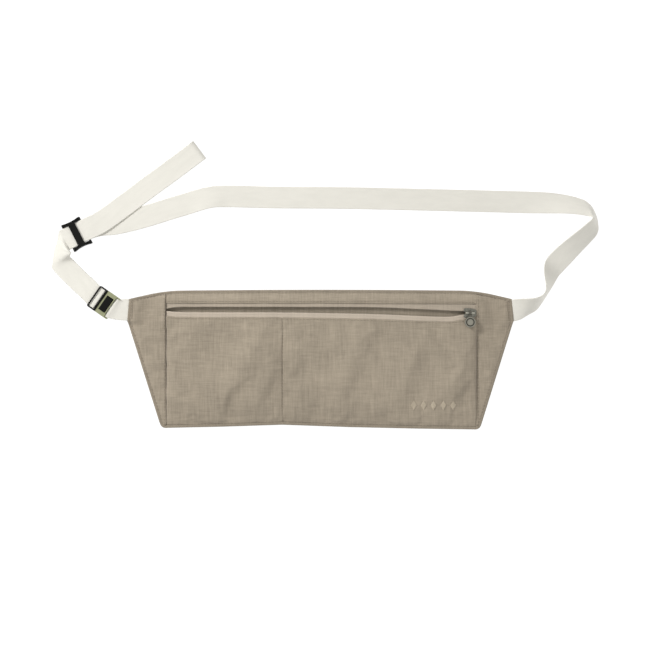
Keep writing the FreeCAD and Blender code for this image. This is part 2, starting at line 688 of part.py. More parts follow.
STRAP_BACK_RUN = [(217.0, 143.7, 0.1, 0), (165.0, 145.6, 0.1, 0), (100.7, 147.2, 0.1, 0),
                  (17.9, 149.0, 0.1, 0), (-46.5, 149.5, 0.1, 0), (-83.0, 150.4, 0.1, 0),
                  (-98.0, 150.0, 0.1, 6), (-110.2, 147.4, 0.1, 6), (-124.0, 143.2, 0.1, 0),
                  (-138.5, 138.9, 0.1, 0), (-157.0, 133.1, 0.1, 0), (-175.3, 128.1, 0.1, 0),
                  (-190.0, 125.0, 0.3, 0)]


def along_glide(distance):
    """A point in plan on the adjuster's own axis."""
    turn = math.radians(GLIDE_TURN)
    return (GLIDE_AT[0] + distance * math.cos(turn), GLIDE_AT[1] + distance * math.sin(turn))


def along_buckle(distance):
    """A point in plan on the buckle's own axis."""
    turn = math.radians(BUCKLE_TURN)
    return (BUCKLE_AT[0] + distance * math.cos(turn),
            BUCKLE_AT[1] + distance * math.sin(turn))


GLIDE_REACH = 12.6       # half of the stretch that is straight in the adjuster
GLIDE_LOW, GLIDE_HIGH = 2.4, 3.8       # undersides of the two layers in the adjuster
WRAP_GAP = 0.15
FREE_END = [(*along_glide(0.0), GLIDE_HIGH, 0), (*along_glide(GLIDE_REACH), GLIDE_HIGH, 0),
            (-204.0, 125.2, 3.0, 0), (-194.0, 131.8, 2.2, 0), (-180.0, 142.2, 1.6, 0),
            (-160.0, 157.2, 1.4, 0), (-135.0, 175.6, 0.3, 0), (-111.1, 193.5, 0.1, 0)]
STRAP_TO_GLIDE = [(-190.0, 125.0, 0.3, 0), (-202.0, 123.9, 1.2, 0),
                  (*along_glide(GLIDE_REACH), GLIDE_LOW, 0), (*along_glide(0.0), GLIDE_LOW, 0)]
BUCKLE_ENTRY = -11.6
LOOP_TURN = [(-237.4, 105.0, 26, 0.0), (-239.2, 97.6, 44, 0.8), (-238.6, 89.6, 36, 1.0),
             (-234.4, 81.6, 18, 1.0), (-227.0, 73.6, 6, 0.6), (-217.4, 65.2, 0, 0.2)]
LOOP_FAN = 1.1           # how far each layer of the loop lies to its own side
LOOP_LOW, LOOP_HIGH = 0.15, 2.8        # undersides of the two layers round the loop


def strap_section(x, y, lowest, tilt, heading):
    """Rectangle across a strap: its corners and its place follow the tilt."""
    half_width, thick = size("webbing_width") / 2, size("webbing_thick")
    lean = math.radians(tilt)
    left = Vector(-math.sin(heading), math.cos(heading), 0)
    across = left * math.cos(lean) + Vector(0, 0, math.sin(lean))
    normal = Vector(0, 0, math.cos(lean)) - left * math.sin(lean)
    rise = abs(math.sin(lean)) * half_width + abs(math.cos(lean)) * thick / 2
    centre = Vector(x, y, lowest + rise)
    corners = []
    for side, face in ((-1, -1), (1, -1), (1, 1), (-1, 1)):
        corners.append(centre + across * (side * half_width) + normal * (face * thick / 2))
    return [tuple(corner) for corner in corners]


def strap_solid(route, first_heading=None, last_heading=None):
    """A strap along a route, square to the mean direction at each point."""
    legs = [math.atan2(b[1] - a[1], b[0] - a[0]) for a, b in zip(route, route[1:])]
    headings = [first_heading if first_heading is not None else legs[0]]
    for before, after in zip(legs, legs[1:]):
        headings.append(before + math.remainder(after - before, 2 * math.pi) / 2)
    headings.append(last_heading if last_heading is not None else legs[-1])
    rings = [strap_section(*point, heading) for point, heading in zip(route, headings)]
    return ruled_solid(rings)


def loop_route(entry_height, buckle_height, spare, aside):
    """One layer of the doubled loop, from the adjuster round to the buckle's ring."""
    route = [(*along_glide(0.0), entry_height, 0), (*along_glide(-GLIDE_REACH), entry_height, 0)]
    for x, y, tilt, fan in LOOP_TURN:
        ahead = math.radians(-100 + 55 * (105.0 - y) / 40.0)
        route.append((x - fan * aside * math.sin(ahead), y + fan * aside * math.cos(ahead),
                      spare, tilt))
    route.append((*along_buckle(BUCKLE_ENTRY), buckle_height, 0))
    return route


def wrap_solid(bar_x, leg, direction):
    """Webbing bent round a strap bar, in the buckle's own frame, with two level legs."""
    thick, half = size("webbing_thick"), size("webbing_width") / 2
    inner = size("bar_radius") + WRAP_GAP
    outer = inner + thick
    height = size("bar_height")
    tube = Part.makeCylinder(outer, 2 * half, Vector(bar_x, -half, height), Vector(0, 1, 0))
    legs = Part.makeBox(leg, 2 * half, 2 * outer,
                        Vector(bar_x if direction > 0 else bar_x - leg, -half, height - outer))
    hollow = Part.makeCylinder(inner, 2 * half, Vector(bar_x, -half, height), Vector(0, 1, 0))
    between = Part.makeBox(leg, 2 * half, 2 * inner,
                           Vector(bar_x if direction > 0 else bar_x - leg, -half, height - inner))
    return tube.fuse(legs).cut(hollow.fuse(between)).removeSplitter()


def in_buckle(shape):
    """Move a shape from the buckle's own frame to the belt's."""
    turn = FreeCAD.Rotation(Vector(0, 0, 1), BUCKLE_TURN)
    return shape.transformGeometry(FreeCAD.Placement(Vector(*BUCKLE_AT, 0), turn).toMatrix())


def make_waist_strap():
    into_buckle = math.radians(BUCKLE_TURN)
    out_of_glide = math.radians(GLIDE_TURN)
    back = out_of_glide - math.pi
    lean = math.atan2(STRAP_TURN[1][1] - STRAP_TURN[0][1], STRAP_TURN[1][0] - STRAP_TURN[0][0])
    level = math.atan2(STRAP_BACK_RUN[1][1] - STRAP_BACK_RUN[0][1],
                       STRAP_BACK_RUN[1][0] - STRAP_BACK_RUN[0][0])
    meet = math.radians(180.0 + 8.0)
    feature("strap_twist", strap_solid(STRAP_TWIST, last_heading=lean))
    feature("strap_far_turn", strap_solid(STRAP_TURN, first_heading=lean, last_heading=level))
    feature("strap_back_run", strap_solid(STRAP_BACK_RUN, first_heading=level,
                                          last_heading=meet))
    feature("strap_to_adjuster", strap_solid(STRAP_TO_GLIDE, first_heading=meet,
                                             last_heading=back))
    inner = size("bar_radius") + WRAP_GAP
    thick, height = size("webbing_thick"), size("bar_height")
    loops = (("strap_loop_lower", GLIDE_LOW, height - inner - thick, LOOP_LOW, LOOP_FAN),
             ("strap_loop_upper", GLIDE_HIGH, height + inner, LOOP_HIGH, -LOOP_FAN))
    for label, entry, leave, spare, aside in loops:
        feature(label, strap_solid(loop_route(entry, leave, spare, aside),
                                   first_heading=back, last_heading=into_buckle))
    feature("strap_free_end", strap_solid(FREE_END, first_heading=out_of_glide))
    feature("strap_buckle_wrap", in_buckle(wrap_solid(RING_BAR, RING_BAR - BUCKLE_ENTRY, -1)))


def make_short_strap():
    """The doubled strap between the housing's bar and the pouch's left end."""
    wrap = wrap_solid(HOUSING_BAR, 2.4, 1)
    feature("short_strap_wrap", in_buckle(wrap))
    inner = size("bar_radius") + WRAP_GAP
    thick, height = size("webbing_thick"), size("bar_height")
    start = along_buckle(HOUSING_BAR + 2.4)
    routes = (("short_strap_lower", height - inner - thick, 0.5, 1.1),
              ("short_strap_upper", height + inner, 2.35, 2.3))
    for label, at_bar, between, at_pouch in routes:
        route = [(*start, at_bar, 0), (-182.6, 45.9, between, 0), (-177.4, 46.3, at_pouch, 0),
                 (-171.6, 46.4, at_pouch, 0)]
        feature(label, strap_solid(route, first_heading=math.radians(BUCKLE_TURN),
                                   last_heading=0.0))


# ---------------------------------------------------------------- build, check, write
def build():
    make_back_panel()
    make_front_panels()
    make_upper_strip()
    make_side_panels()
    make_hem()
    make_zip()
    make_stitching()
    make_motif()
    make_slider()
    make_pull()
    make_glide()
    make_male_half()
    make_push_tab()
    make_housing()
    make_waist_strap()
    make_short_strap()
    doc.recompute()


def sub_parts():
    """Every finished piece: bodies, boxes and Part features outside any body."""
    kinds = ("PartDesign::Body", "Part::Feature", "Part::Box")
    return [item for item in doc.Objects if item.TypeId in kinds]


def check():
    for item in doc.Objects:
        bad = [word for word in item.State if word in ("Invalid", "Error")]
        if bad:
            raise RuntimeError(f"{item.Label}: {bad}")
    for piece in sub_parts():
        if piece.Shape.isNull() or not piece.Shape.isValid() or piece.Shape.Volume <= 0:
            raise RuntimeError(f"{piece.Label}: no valid solid")


def write():
    os.makedirs(PARTS_FOLDER, exist_ok=True)
    for piece in sub_parts():
        piece.Shape.exportStep(f"{PARTS_FOLDER}/{piece.Label}.step")
        print(f"{piece.Label:24s} {piece.Shape.Volume:10.1f} mm3  {len(piece.Shape.Solids)} solids")


build()
check()
write()
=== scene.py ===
"""Looks of the money belt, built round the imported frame. Lengths in the lists below are millimetres."""
import math

import bmesh
import bpy
import numpy as np
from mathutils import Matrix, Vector
from mathutils.bvhtree import BVHTree
from mathutils.noise import noise as noise_value


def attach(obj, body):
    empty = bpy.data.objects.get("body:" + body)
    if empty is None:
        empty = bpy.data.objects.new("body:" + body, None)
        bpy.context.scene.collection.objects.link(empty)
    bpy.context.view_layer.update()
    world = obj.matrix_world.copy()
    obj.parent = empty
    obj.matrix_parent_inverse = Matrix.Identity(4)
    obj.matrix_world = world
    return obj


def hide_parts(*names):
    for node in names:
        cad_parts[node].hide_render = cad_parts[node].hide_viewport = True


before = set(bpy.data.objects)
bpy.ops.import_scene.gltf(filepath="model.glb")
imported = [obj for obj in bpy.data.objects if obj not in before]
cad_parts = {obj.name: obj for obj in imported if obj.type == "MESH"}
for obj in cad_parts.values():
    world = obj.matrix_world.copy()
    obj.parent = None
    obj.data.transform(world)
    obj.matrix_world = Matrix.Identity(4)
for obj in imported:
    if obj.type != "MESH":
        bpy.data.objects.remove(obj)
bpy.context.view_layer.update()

MM = 0.001
ROOT = "belt"

# ---------------------------------------------------------------- camera, floor and light
VIEW_CENTRE = (2.3, 34.0)        # point that the camera looks straight down at
CAMERA_HEIGHT = 1.6
VIEW_WIDTH = 0.5943              # how much of the floor the picture shows, in metres
SENSOR = 36.0
FLOOR_GLOW, SKY_GLOW = 0.93, 0.48
# Lamps aimed at the origin: (name, place, width, power).
LAMPS = [("key", (-1.0, 0.75, 1.0), 0.5, 15.0), ("fill", (1.2, -0.6, 1.5), 1.6, 7.0)]


def make_camera():
    """A long lens looking straight down, as over a product laid on a table."""
    data = bpy.data.cameras.new("camera")
    data.sensor_width = SENSOR
    data.lens = SENSOR * CAMERA_HEIGHT / VIEW_WIDTH
    camera = bpy.data.objects.new("camera", data)
    camera.location = (VIEW_CENTRE[0] * MM, VIEW_CENTRE[1] * MM, CAMERA_HEIGHT)
    bpy.context.collection.objects.link(camera)
    bpy.context.scene.camera = camera


def make_lamp(name, place, width, power):
    data = bpy.data.lights.new(name, "AREA")
    data.shape = "DISK"
    data.size = width
    data.energy = power
    light = bpy.data.objects.new(name, data)
    light.location = place
    light.rotation_euler = (-Vector(place)).to_track_quat("-Z", "Y").to_euler()
    bpy.context.collection.objects.link(light)


def make_stage():
    """A glowing white floor, an even sky and two soft lamps, as in a cut-out product view."""
    bpy.ops.mesh.primitive_plane_add(size=8.0, location=(0, 0, -0.0002))
    floor = bpy.context.object
    floor.name = "floor"
    material, _, shader = new_material("floor_white")
    shader.inputs["Base Color"].default_value = (0.2, 0.2, 0.2, 1)
    shader.inputs["Roughness"].default_value = 1.0
    shader.inputs["Specular IOR Level"].default_value = 0.0
    shader.inputs["Emission Color"].default_value = (1, 1, 1, 1)
    shader.inputs["Emission Strength"].default_value = FLOOR_GLOW
    floor.data.materials.append(material)
    world = bpy.data.worlds.new("sky")
    world.use_nodes = True
    sky = world.node_tree.nodes["Background"]
    sky.inputs["Color"].default_value = (1, 1, 1, 1)
    sky.inputs["Strength"].default_value = SKY_GLOW
    bpy.context.scene.world = world
    for name, place, width, power in LAMPS:
        make_lamp(name, place, width, power)
    bpy.context.scene.view_settings.view_transform = "Standard"


# ---------------------------------------------------------------- materials
def new_material(name):
    material = bpy.data.materials.new(name)
    material.use_nodes = True
    tree = material.node_tree
    return material, tree, tree.nodes["Principled BSDF"]


def node(tree, kind, **settings):
    """A new node with its properties and unlinked inputs set by name."""
    made = tree.nodes.new(kind)
    for key, value in settings.items():
        if key in made.inputs:
            made.inputs[key].default_value = value
        else:
            setattr(made, key, value)
    return made


def coordinates(tree, source, stretch):
    """Texture coordinates in metres, stretched to cycles per metre."""
    place = node(tree, "ShaderNodeTexCoord")
    mapping = node(tree, "ShaderNodeMapping", vector_type="POINT", Scale=stretch)
    tree.links.new(place.outputs[source], mapping.inputs["Vector"])
    return mapping.outputs["Vector"]


def noise(tree, source, stretch, detail=2.0, roughness=0.5):
    made = node(tree, "ShaderNodeTexNoise", Scale=1.0, Detail=detail, Roughness=roughness)
    tree.links.new(coordinates(tree, source, stretch), made.inputs["Vector"])
    return made.outputs["Fac"]


def wave(tree, stretch, direction):
    """Parallel bands, 1.6 of them to a unit of the stretched object coordinates."""
    made = node(tree, "ShaderNodeTexWave", wave_type="BANDS", bands_direction=direction,
                wave_profile="SIN", Scale=0.5, Distortion=0.0)
    tree.links.new(coordinates(tree, "Object", stretch), made.inputs["Vector"])
    return made.outputs["Fac"]


def separate(tree, source, axis, factor):
    """One component of the coordinates times a factor."""
    place = node(tree, "ShaderNodeTexCoord")
    parts = node(tree, "ShaderNodeSeparateXYZ")
    tree.links.new(place.outputs[source], parts.inputs[0])
    return math_node(tree, "MULTIPLY", parts.outputs[axis], factor)


def math_node(tree, operation, first, second=0.0):
    made = node(tree, "ShaderNodeMath", operation=operation)
    for socket, value in zip(made.inputs, (first, second)):
        if isinstance(value, (int, float)):
            socket.default_value = value
        else:
            tree.links.new(value, socket)
    return made.outputs[0]


def weighted(tree, pairs):
    """Sum of weight * (value - 0.5) over (value, weight) pairs, plus 0.5."""
    total = 0.5
    for value, weight in pairs:
        swing = math_node(tree, "MULTIPLY", math_node(tree, "SUBTRACT", value, 0.5), weight)
        total = math_node(tree, "ADD", swing, total)
    return total


def ramp(tree, value, stops):
    made = node(tree, "ShaderNodeValToRGB")
    elements = made.color_ramp.elements
    while len(elements) < len(stops):
        elements.new(0.5)
    for element, (place, colour) in zip(elements, stops):
        element.position = place
        element.color = (*colour, 1)
    tree.links.new(value, made.inputs["Fac"])
    return made.outputs["Color"]


def add_bump(tree, shader, layers):
    """Chain bumps, each (height, strength, distance in metres), into the shader."""
    normal = None
    for height, strength, distance in layers:
        bump = node(tree, "ShaderNodeBump", Strength=strength, Distance=distance)
        tree.links.new(height, bump.inputs["Height"])
        if normal is not None:
            tree.links.new(normal, bump.inputs["Normal"])
        normal = bump.outputs["Normal"]
    tree.links.new(normal, shader.inputs["Normal"])


def linear(red, green, blue):
    """A screen colour from 0 to 255 as linear light."""
    def one(value):
        value = value / 255.0
        return value / 12.92 if value <= 0.04045 else ((value + 0.055) / 1.055) ** 2.4
    return one(red), one(green), one(blue)


def scaled(colour, factor):
    return tuple(min(1.0, part * factor) for part in colour)


def woven_cloth(name, colour, thread=0.00042, slub=1.0, sheen=0.25):
    """Fine plain weave with slubs: long thin streaks along both thread directions.

    thread is the weave's scale in metres, slub the strength of the streaks.
    """
    material, tree, shader = new_material(name)
    streak_across = noise(tree, "Object", (80, 1150, 60), 3.0, 0.62)
    streak_up = noise(tree, "Object", (1000, 55, 60), 3.0, 0.62)
    patch = noise(tree, "Object", (28, 34, 30), 2.0, 0.5)
    tone = weighted(tree, [(streak_across, 0.75 * slub), (streak_up, 0.85 * slub),
                           (patch, 0.45 * slub)])
    shade = ramp(tree, tone, [(0.12, scaled(colour, 0.72)), (0.5, colour),
                              (0.88, scaled(colour, 1.27))])
    tree.links.new(shade, shader.inputs["Base Color"])
    shader.inputs["Roughness"].default_value = 0.82
    shader.inputs["Sheen Weight"].default_value = sheen
    shader.inputs["Sheen Roughness"].default_value = 0.45
    shader.inputs["Specular IOR Level"].default_value = 0.3
    cycles = 1.0 / thread
    warp, weft = [wave(tree, (cycles, cycles, 1), axis) for axis in "XY"]
    threads = math_node(tree, "MAXIMUM", warp, weft)
    crumple = noise(tree, "Object", (95, 120, 90), 3.0, 0.55)
    add_bump(tree, shader, [(crumple, 0.35, 0.0012), (streak_across, 0.30, 0.00025),
                            (streak_up, 0.30, 0.00025), (threads, 0.55, 0.00008)])
    return material


def webbing_cloth(name, colour):
    """Close herringbone webbing; UV runs in metres, across then along the strap."""
    chevron, rib, end = 0.004, 0.0011, 0.0005
    material, tree, shader = new_material(name)
    within = math_node(tree, "FRACT", separate(tree, "UV", 0, 1 / chevron))
    slant = math_node(tree, "ABSOLUTE", math_node(tree, "SUBTRACT", within, 0.5))
    along = separate(tree, "UV", 1, 1 / rib)
    phase = math_node(tree, "ADD", along, math_node(tree, "MULTIPLY", slant, 2.2))
    picks = math_node(tree, "PINGPONG", phase, 0.5)
    ends = math_node(tree, "PINGPONG", separate(tree, "UV", 0, 1 / end), 0.5)
    wander = noise(tree, "UV", (220, 60, 1), 3.0, 0.6)
    long_tone = noise(tree, "UV", (30, 9, 1), 2.0, 0.5)
    tone = weighted(tree, [(wander, 0.5), (long_tone, 0.5), (picks, 0.25)])
    shade = ramp(tree, tone, [(0.2, scaled(colour, 0.93)), (0.5, colour),
                              (0.8, scaled(colour, 1.03))])
    tree.links.new(shade, shader.inputs["Base Color"])
    shader.inputs["Roughness"].default_value = 0.78
    shader.inputs["Sheen Weight"].default_value = 0.2
    shader.inputs["Sheen Roughness"].default_value = 0.4
    shader.inputs["Specular IOR Level"].default_value = 0.3
    add_bump(tree, shader, [(wander, 0.3, 0.0003), (picks, 0.5, 0.00012), (ends, 0.4, 0.00006)])
    return material


def worn_roughness(tree, shader, wear, low, high):
    rough = node(tree, "ShaderNodeMapRange")
    rough.inputs["To Min"].default_value = low
    rough.inputs["To Max"].default_value = high
    tree.links.new(wear, rough.inputs["Value"])
    tree.links.new(rough.outputs["Result"], shader.inputs["Roughness"])


def moulded_plastic(name, colour, roughness=0.42, specular=0.5):
    material, tree, shader = new_material(name)
    grain = noise(tree, "Object", (2600, 2600, 2600), 3.0, 0.6)
    wear = noise(tree, "Object", (240, 240, 240), 4.0, 0.6)
    shade = ramp(tree, wear, [(0.3, scaled(colour, 0.93)), (0.7, scaled(colour, 1.08))])
    tree.links.new(shade, shader.inputs["Base Color"])
    worn_roughness(tree, shader, wear, roughness - 0.08, roughness + 0.12)
    shader.inputs["Specular IOR Level"].default_value = specular
    add_bump(tree, shader, [(wear, 0.15, 0.0002), (grain, 0.25, 0.00004)])
    return material


def plated_metal(name):
    """Plated die casting that handling has worn unevenly; its colour is still to be linked."""
    material, tree, shader = new_material(name)
    wear = noise(tree, "Object", (520, 520, 520), 4.0, 0.6)
    grain = noise(tree, "Object", (3000, 3000, 3000), 2.0, 0.5)
    shader.inputs["Metallic"].default_value = 1.0
    worn_roughness(tree, shader, wear, 0.24, 0.44)
    add_bump(tree, shader, [(wear, 0.2, 0.0002), (grain, 0.2, 0.00003)])
    return material, tree, shader


RAMP_SPAN = 10.0                 # millimetres that a metal's ramp of tones covers


def metal_with_painted_rings(name, colour, centre, stops):
    """Metal with a tone for each distance from a centre: stops are (millimetres, share); the bright rings
    are painted highlight and the dark ones painted shade.
    """
    material, tree, shader = plated_metal(name)
    squares = []
    for axis, middle in enumerate(centre):
        offset = math_node(tree, "SUBTRACT", separate(tree, "Object", axis, 1 / MM), middle)
        squares.append(math_node(tree, "MULTIPLY", offset, offset))
    distance = math_node(tree, "POWER", math_node(tree, "ADD", *squares), 0.5)
    tone = math_node(tree, "MULTIPLY", distance, 1 / RAMP_SPAN)
    shade = ramp(tree, tone, [(reach / RAMP_SPAN, scaled(colour, share))
                              for reach, share in stops])
    tree.links.new(shade, shader.inputs["Base Color"])
    return material


def metal_painted_by_height(name, colour, stops):
    """Metal painted bright on what stands high and dark low down, as painted highlight and painted shade,
    with the border jittered by noise: stops are (height in millimetres, share).
    """
    material, tree, shader = plated_metal(name)
    height = separate(tree, "Object", 2, 1 / (RAMP_SPAN * MM))
    patchy = 0.12
    height_jitter = noise(tree, "Object", (650, 650, 650), 3.0, 0.6)
    painted_light_height = math_node(tree, "ADD", height, math_node(tree, "MULTIPLY", height_jitter, patchy))
    shade = ramp(tree, painted_light_height, [(level / RAMP_SPAN + patchy / 2, scaled(colour, share))
                                for level, share in stops])
    tree.links.new(shade, shader.inputs["Base Color"])
    return material


def sewing_thread(name, colour):
    material, tree, shader = new_material(name)
    ply = wave(tree, (3200, 3200, 3200), "DIAGONAL")
    shade = ramp(tree, ply, [(0.0, scaled(colour, 0.85)), (1.0, scaled(colour, 1.1))])
    tree.links.new(shade, shader.inputs["Base Color"])
    shader.inputs["Roughness"].default_value = 0.6
    shader.inputs["Sheen Weight"].default_value = 0.3
    add_bump(tree, shader, [(ply, 0.5, 0.00006)])
    return material


make_camera()
make_stage()

CLOTH_COLOUR = linear(166, 154, 136)
CLOTH = woven_cloth("pouch_cloth", CLOTH_COLOUR)
# The turned edge's cloth: the pouch cloth darkened as painted shade, for the shade where the edge rolls
# away.
CLOTH_PAINTED_SHADE = woven_cloth("pouch_cloth_painted_shade", scaled(CLOTH_COLOUR, 0.84), slub=0.8)
TAPE = woven_cloth("zip_tape", linear(200, 187, 170), thread=0.0006, slub=0.35, sheen=0.35)
# The upper tape is the same tape as the lower one, darkened as painted shade from the mouth above it.
SHADED_TAPE = woven_cloth("zip_tape_upper", linear(180, 168, 151), thread=0.0006, slub=0.6)
WEBBING = webbing_cloth("webbing", linear(235, 232, 222))
THREAD = sewing_thread("thread", linear(132, 120, 103))
MOTIF = sewing_thread("motif_thread", linear(196, 183, 161))
COIL = moulded_plastic("zip_coil", linear(150, 138, 121), 0.38)
BLACK = moulded_plastic("black_plastic", linear(12, 12, 9), 0.5, specular=0.16)
OLIVE = moulded_plastic("olive_plastic", linear(154, 156, 122), 0.5, specular=0.3)
# The pull: painted highlight on its boss and rim, painted shade in the groove and at the outer edge.
PULL_METAL = metal_with_painted_rings("pull_metal_painted_light", linear(168, 165, 152), (137.0, 34.7), [
    (2.3, 1.2), (2.9, 0.9), (3.1, 0.16), (3.8, 0.2), (4.1, 1.15), (4.6, 1.25), (4.9, 0.5)])
# The slider: painted highlight on what stands high, painted shade low down.
SLIDER_METAL = metal_painted_by_height("slider_metal_painted_light", linear(170, 168, 156), [
    (5.2, 0.2), (6.4, 0.35), (6.9, 0.6), (7.3, 1.0), (8.2, 1.6)])


# ---------------------------------------------------------------- mesh helpers
def new_piece(name, vertices, faces, material, smooth=True):
    """An object from points in millimetres."""
    mesh = bpy.data.meshes.new(name)
    mesh.from_pydata([tuple(c * MM for c in point) for point in vertices], [], faces)
    mesh.materials.append(material)
    mesh.validate()
    piece = bpy.data.objects.new(name, mesh)
    bpy.context.collection.objects.link(piece)
    if smooth:
        mesh.polygons.foreach_set("use_smooth", [True] * len(mesh.polygons))
    return piece


def grid_faces(rows, columns, closed=False):
    """Quads of a grid stored row by row; closed joins each row's ends."""
    faces = []
    last = columns if closed else columns - 1
    for r in range(rows - 1):
        for c in range(last):
            d = (c + 1) % columns
            faces.append((r * columns + c, r * columns + d,
                          (r + 1) * columns + d, (r + 1) * columns + c))
    return faces


def apply_modifiers(piece):
    """Keep the piece's evaluated shape and drop its modifiers."""
    graph = bpy.context.evaluated_depsgraph_get()
    shape = bpy.data.meshes.new_from_object(piece.evaluated_get(graph))
    piece.modifiers.clear()
    piece.data = shape


def add_modifier(piece, kind, **settings):
    modifier = piece.modifiers.new(kind.lower(), kind)
    for key, value in settings.items():
        setattr(modifier, key, value)
    return modifier


def end_caps(rows, columns):
    """The two faces that close a closed grid's first and last row."""
    return [tuple(reversed(range(columns))), tuple(range((rows - 1) * columns, rows * columns))]


def outward_normals(piece):
    mesh = bmesh.new()
    mesh.from_mesh(piece.data)
    bmesh.ops.recalc_face_normals(mesh, faces=mesh.faces)
    mesh.to_mesh(piece.data)
    mesh.free()


def sweep(name, centres, acrosses, normals, profile, material):
    """Sweep a closed profile of (across, up) points along a path of frames.

    UV runs in metres: across the profile, then along the path.
    """
    points, lengths = [], [0.0]
    for before, after in zip(centres, centres[1:]):
        lengths.append(lengths[-1] + (after - before).length)
    for centre, across, normal in zip(centres, acrosses, normals):
        points += [centre + across * w + normal * h for w, h in profile]
    count = len(profile)
    faces = grid_faces(len(centres), count, closed=True) + end_caps(len(centres), count)
    piece = new_piece(name, points, faces, material)
    layer = piece.data.uv_layers.new(name="UVMap")
    for loop in piece.data.loops:
        row, column = divmod(loop.vertex_index, count)
        layer.data[loop.index].uv = (profile[column][0] * MM, lengths[row] * MM)
    return piece


def catmull(points, steps):
    """Centripetal curve through rows of numbers, as a list of rows; the ends are kept."""
    rows = np.array([points[0]] + list(points) + [points[-1]], dtype=float)
    rows[0] = 2 * rows[1] - rows[2]
    rows[-1] = 2 * rows[-2] - rows[-3]
    out = []
    for i in range(1, len(rows) - 2):
        a, b, c, d = rows[i - 1], rows[i], rows[i + 1], rows[i + 2]
        knots = [0.0]
        for first, second in ((a, b), (b, c), (c, d)):
            knots.append(knots[-1] + max(np.linalg.norm((second - first)[:2]), 1e-6) ** 0.5)
        t0, t1, t2, t3 = knots
        for step in range(steps):
            t = t1 + (t2 - t1) * step / steps
            a1 = (t1 - t) / (t1 - t0) * a + (t - t0) / (t1 - t0) * b
            a2 = (t2 - t) / (t2 - t1) * b + (t - t1) / (t2 - t1) * c
            a3 = (t3 - t) / (t3 - t2) * c + (t - t2) / (t3 - t2) * d
            b1 = (t2 - t) / (t2 - t0) * a1 + (t - t0) / (t2 - t0) * a2
            b2 = (t3 - t) / (t3 - t1) * a2 + (t - t1) / (t3 - t1) * a3
            out.append((t2 - t) / (t2 - t1) * b1 + (t - t1) / (t2 - t1) * b2)
    out.append(rows[-2])
    return out


def lerp(points, x):
    return float(np.interp(x, [p[0] for p in points], [p[1] for p in points]))


# ---------------------------------------------------------------- webbing
# Edge pairs: (left x, left y, right x, right y, height of the right edge's middle, lean).
# The left edge stands up by what the strap's width leaves over; lean scales that.
STRAP_WIDTH, STRAP_THICK = 20.0, 1.05
CAD_THICK = 1.1                  # the webbing in the CAD, which sets the gaps between layers
TWIST_AND_TURN = [
    (168.4, 54.0, 171.0, 34.1, 1.65, 0), (174.4, 55.2, 176.9, 35.4, 1.65, 0),
    (181.0, 55.8, 183.2, 37.2, 1.2, 0.7), (188.8, 56.3, 191.0, 41.4, 0.8, 1),
    (196.0, 57.0, 198.4, 45.8, 0.5, 1), (201.2, 58.9, 203.3, 52.4, 0.4, 1),
    (204.6, 62.6, 207.2, 58.4, 0.4, 1), (205.2, 69.0, 210.8, 63.9, 0.4, 1),
    (204.2, 77.0, 214.8, 70.2, 0.4, 1), (204.2, 85.0, 219.0, 77.2, 0.5, 1),
    (207.2, 92.6, 223.2, 81.8, 0.5, 0.9), (213.8, 100.2, 229.2, 88.0, 0.5, 1),
    (224.9, 110.2, 238.8, 98.4, 0.5, 1), (236.4, 119.4, 248.9, 109.0, 0.4, 1),
    (243.8, 125.6, 254.4, 116.0, 0.4, 1), (247.2, 128.6, 255.4, 122.4, 0.4, 1),
    (247.9, 129.9, 253.9, 131.0, 0.4, 1), (246.9, 130.6, 250.2, 139.6, 0.4, 1),
    (244.4, 131.4, 244.9, 145.4, 0.4, 1), (237.6, 132.7, 238.6, 148.4, 0.4, 1),
    (226.0, 134.0, 228.0, 151.3, 0.5, 1), (208.8, 134.9, 209.6, 153.6, 0.5, 0.6),
    (190.0, 135.0, 190.5, 154.8, 0.65, 0)]
# Back run, free end and stretches in the hardware: (x, y, lowest edge, tilt in degrees).
STRAP_BACK_RUN = [(165.0, 145.6, 0.1, 0), (100.7, 147.2, 0.1, 0),
                  (17.9, 149.0, 0.1, 0), (-46.5, 149.5, 0.1, 0), (-83.0, 150.4, 0.1, 0),
                  (-98.0, 150.0, 0.1, 6), (-110.2, 147.4, 0.1, 6), (-124.0, 143.2, 0.1, 0),
                  (-138.5, 138.9, 0.1, 0), (-157.0, 133.1, 0.1, 0), (-175.3, 128.1, 0.1, 0),
                  (-190.0, 125.0, 0.3, 0)]
GLIDE_AT, GLIDE_TURN, GLIDE_REACH = (-223.8, 115.4), math.radians(27.0), 12.6
GLIDE_LOW, GLIDE_HIGH = 2.4, 3.8
BUCKLE_AT, BUCKLE_TURN = (-198.3, 52.4), math.radians(-34.7)
RING_BAR, BUCKLE_ENTRY, HOUSING_BAR = -7.2, -11.6, 8.9
BAR_HEIGHT, WRAP_INNER = 2.6, 0.95
# The doubled loop: (outer edge x, y, its height, direction across, tilt, layer spacing).
LOOP = [(-241.9, 109.0, 1.9, -38.0, 32.0, 0.8), (-244.2, 100.4, 1.3, -7.0, 34.0, 0.5),
        (-246.2, 91.0, 1.3, 17.0, 25.0, 0.6), (-246.6, 84.6, 1.3, 30.0, 11.0, 0.9),
        (-241.9, 78.6, 1.4, 42.0, 4.0, 1.3), (-230.3, 66.9, 1.7, 49.0, 1.0, 1.7),
        (-219.6, 57.0, 2.3, 53.0, 0.0, 2.6)]


def on_axis(origin, turn, distance):
    return (origin[0] + distance * math.cos(turn), origin[1] + distance * math.sin(turn))


def along_glide(distance):
    return on_axis(GLIDE_AT, GLIDE_TURN, distance)


def along_buckle(distance):
    return on_axis(BUCKLE_AT, BUCKLE_TURN, distance)


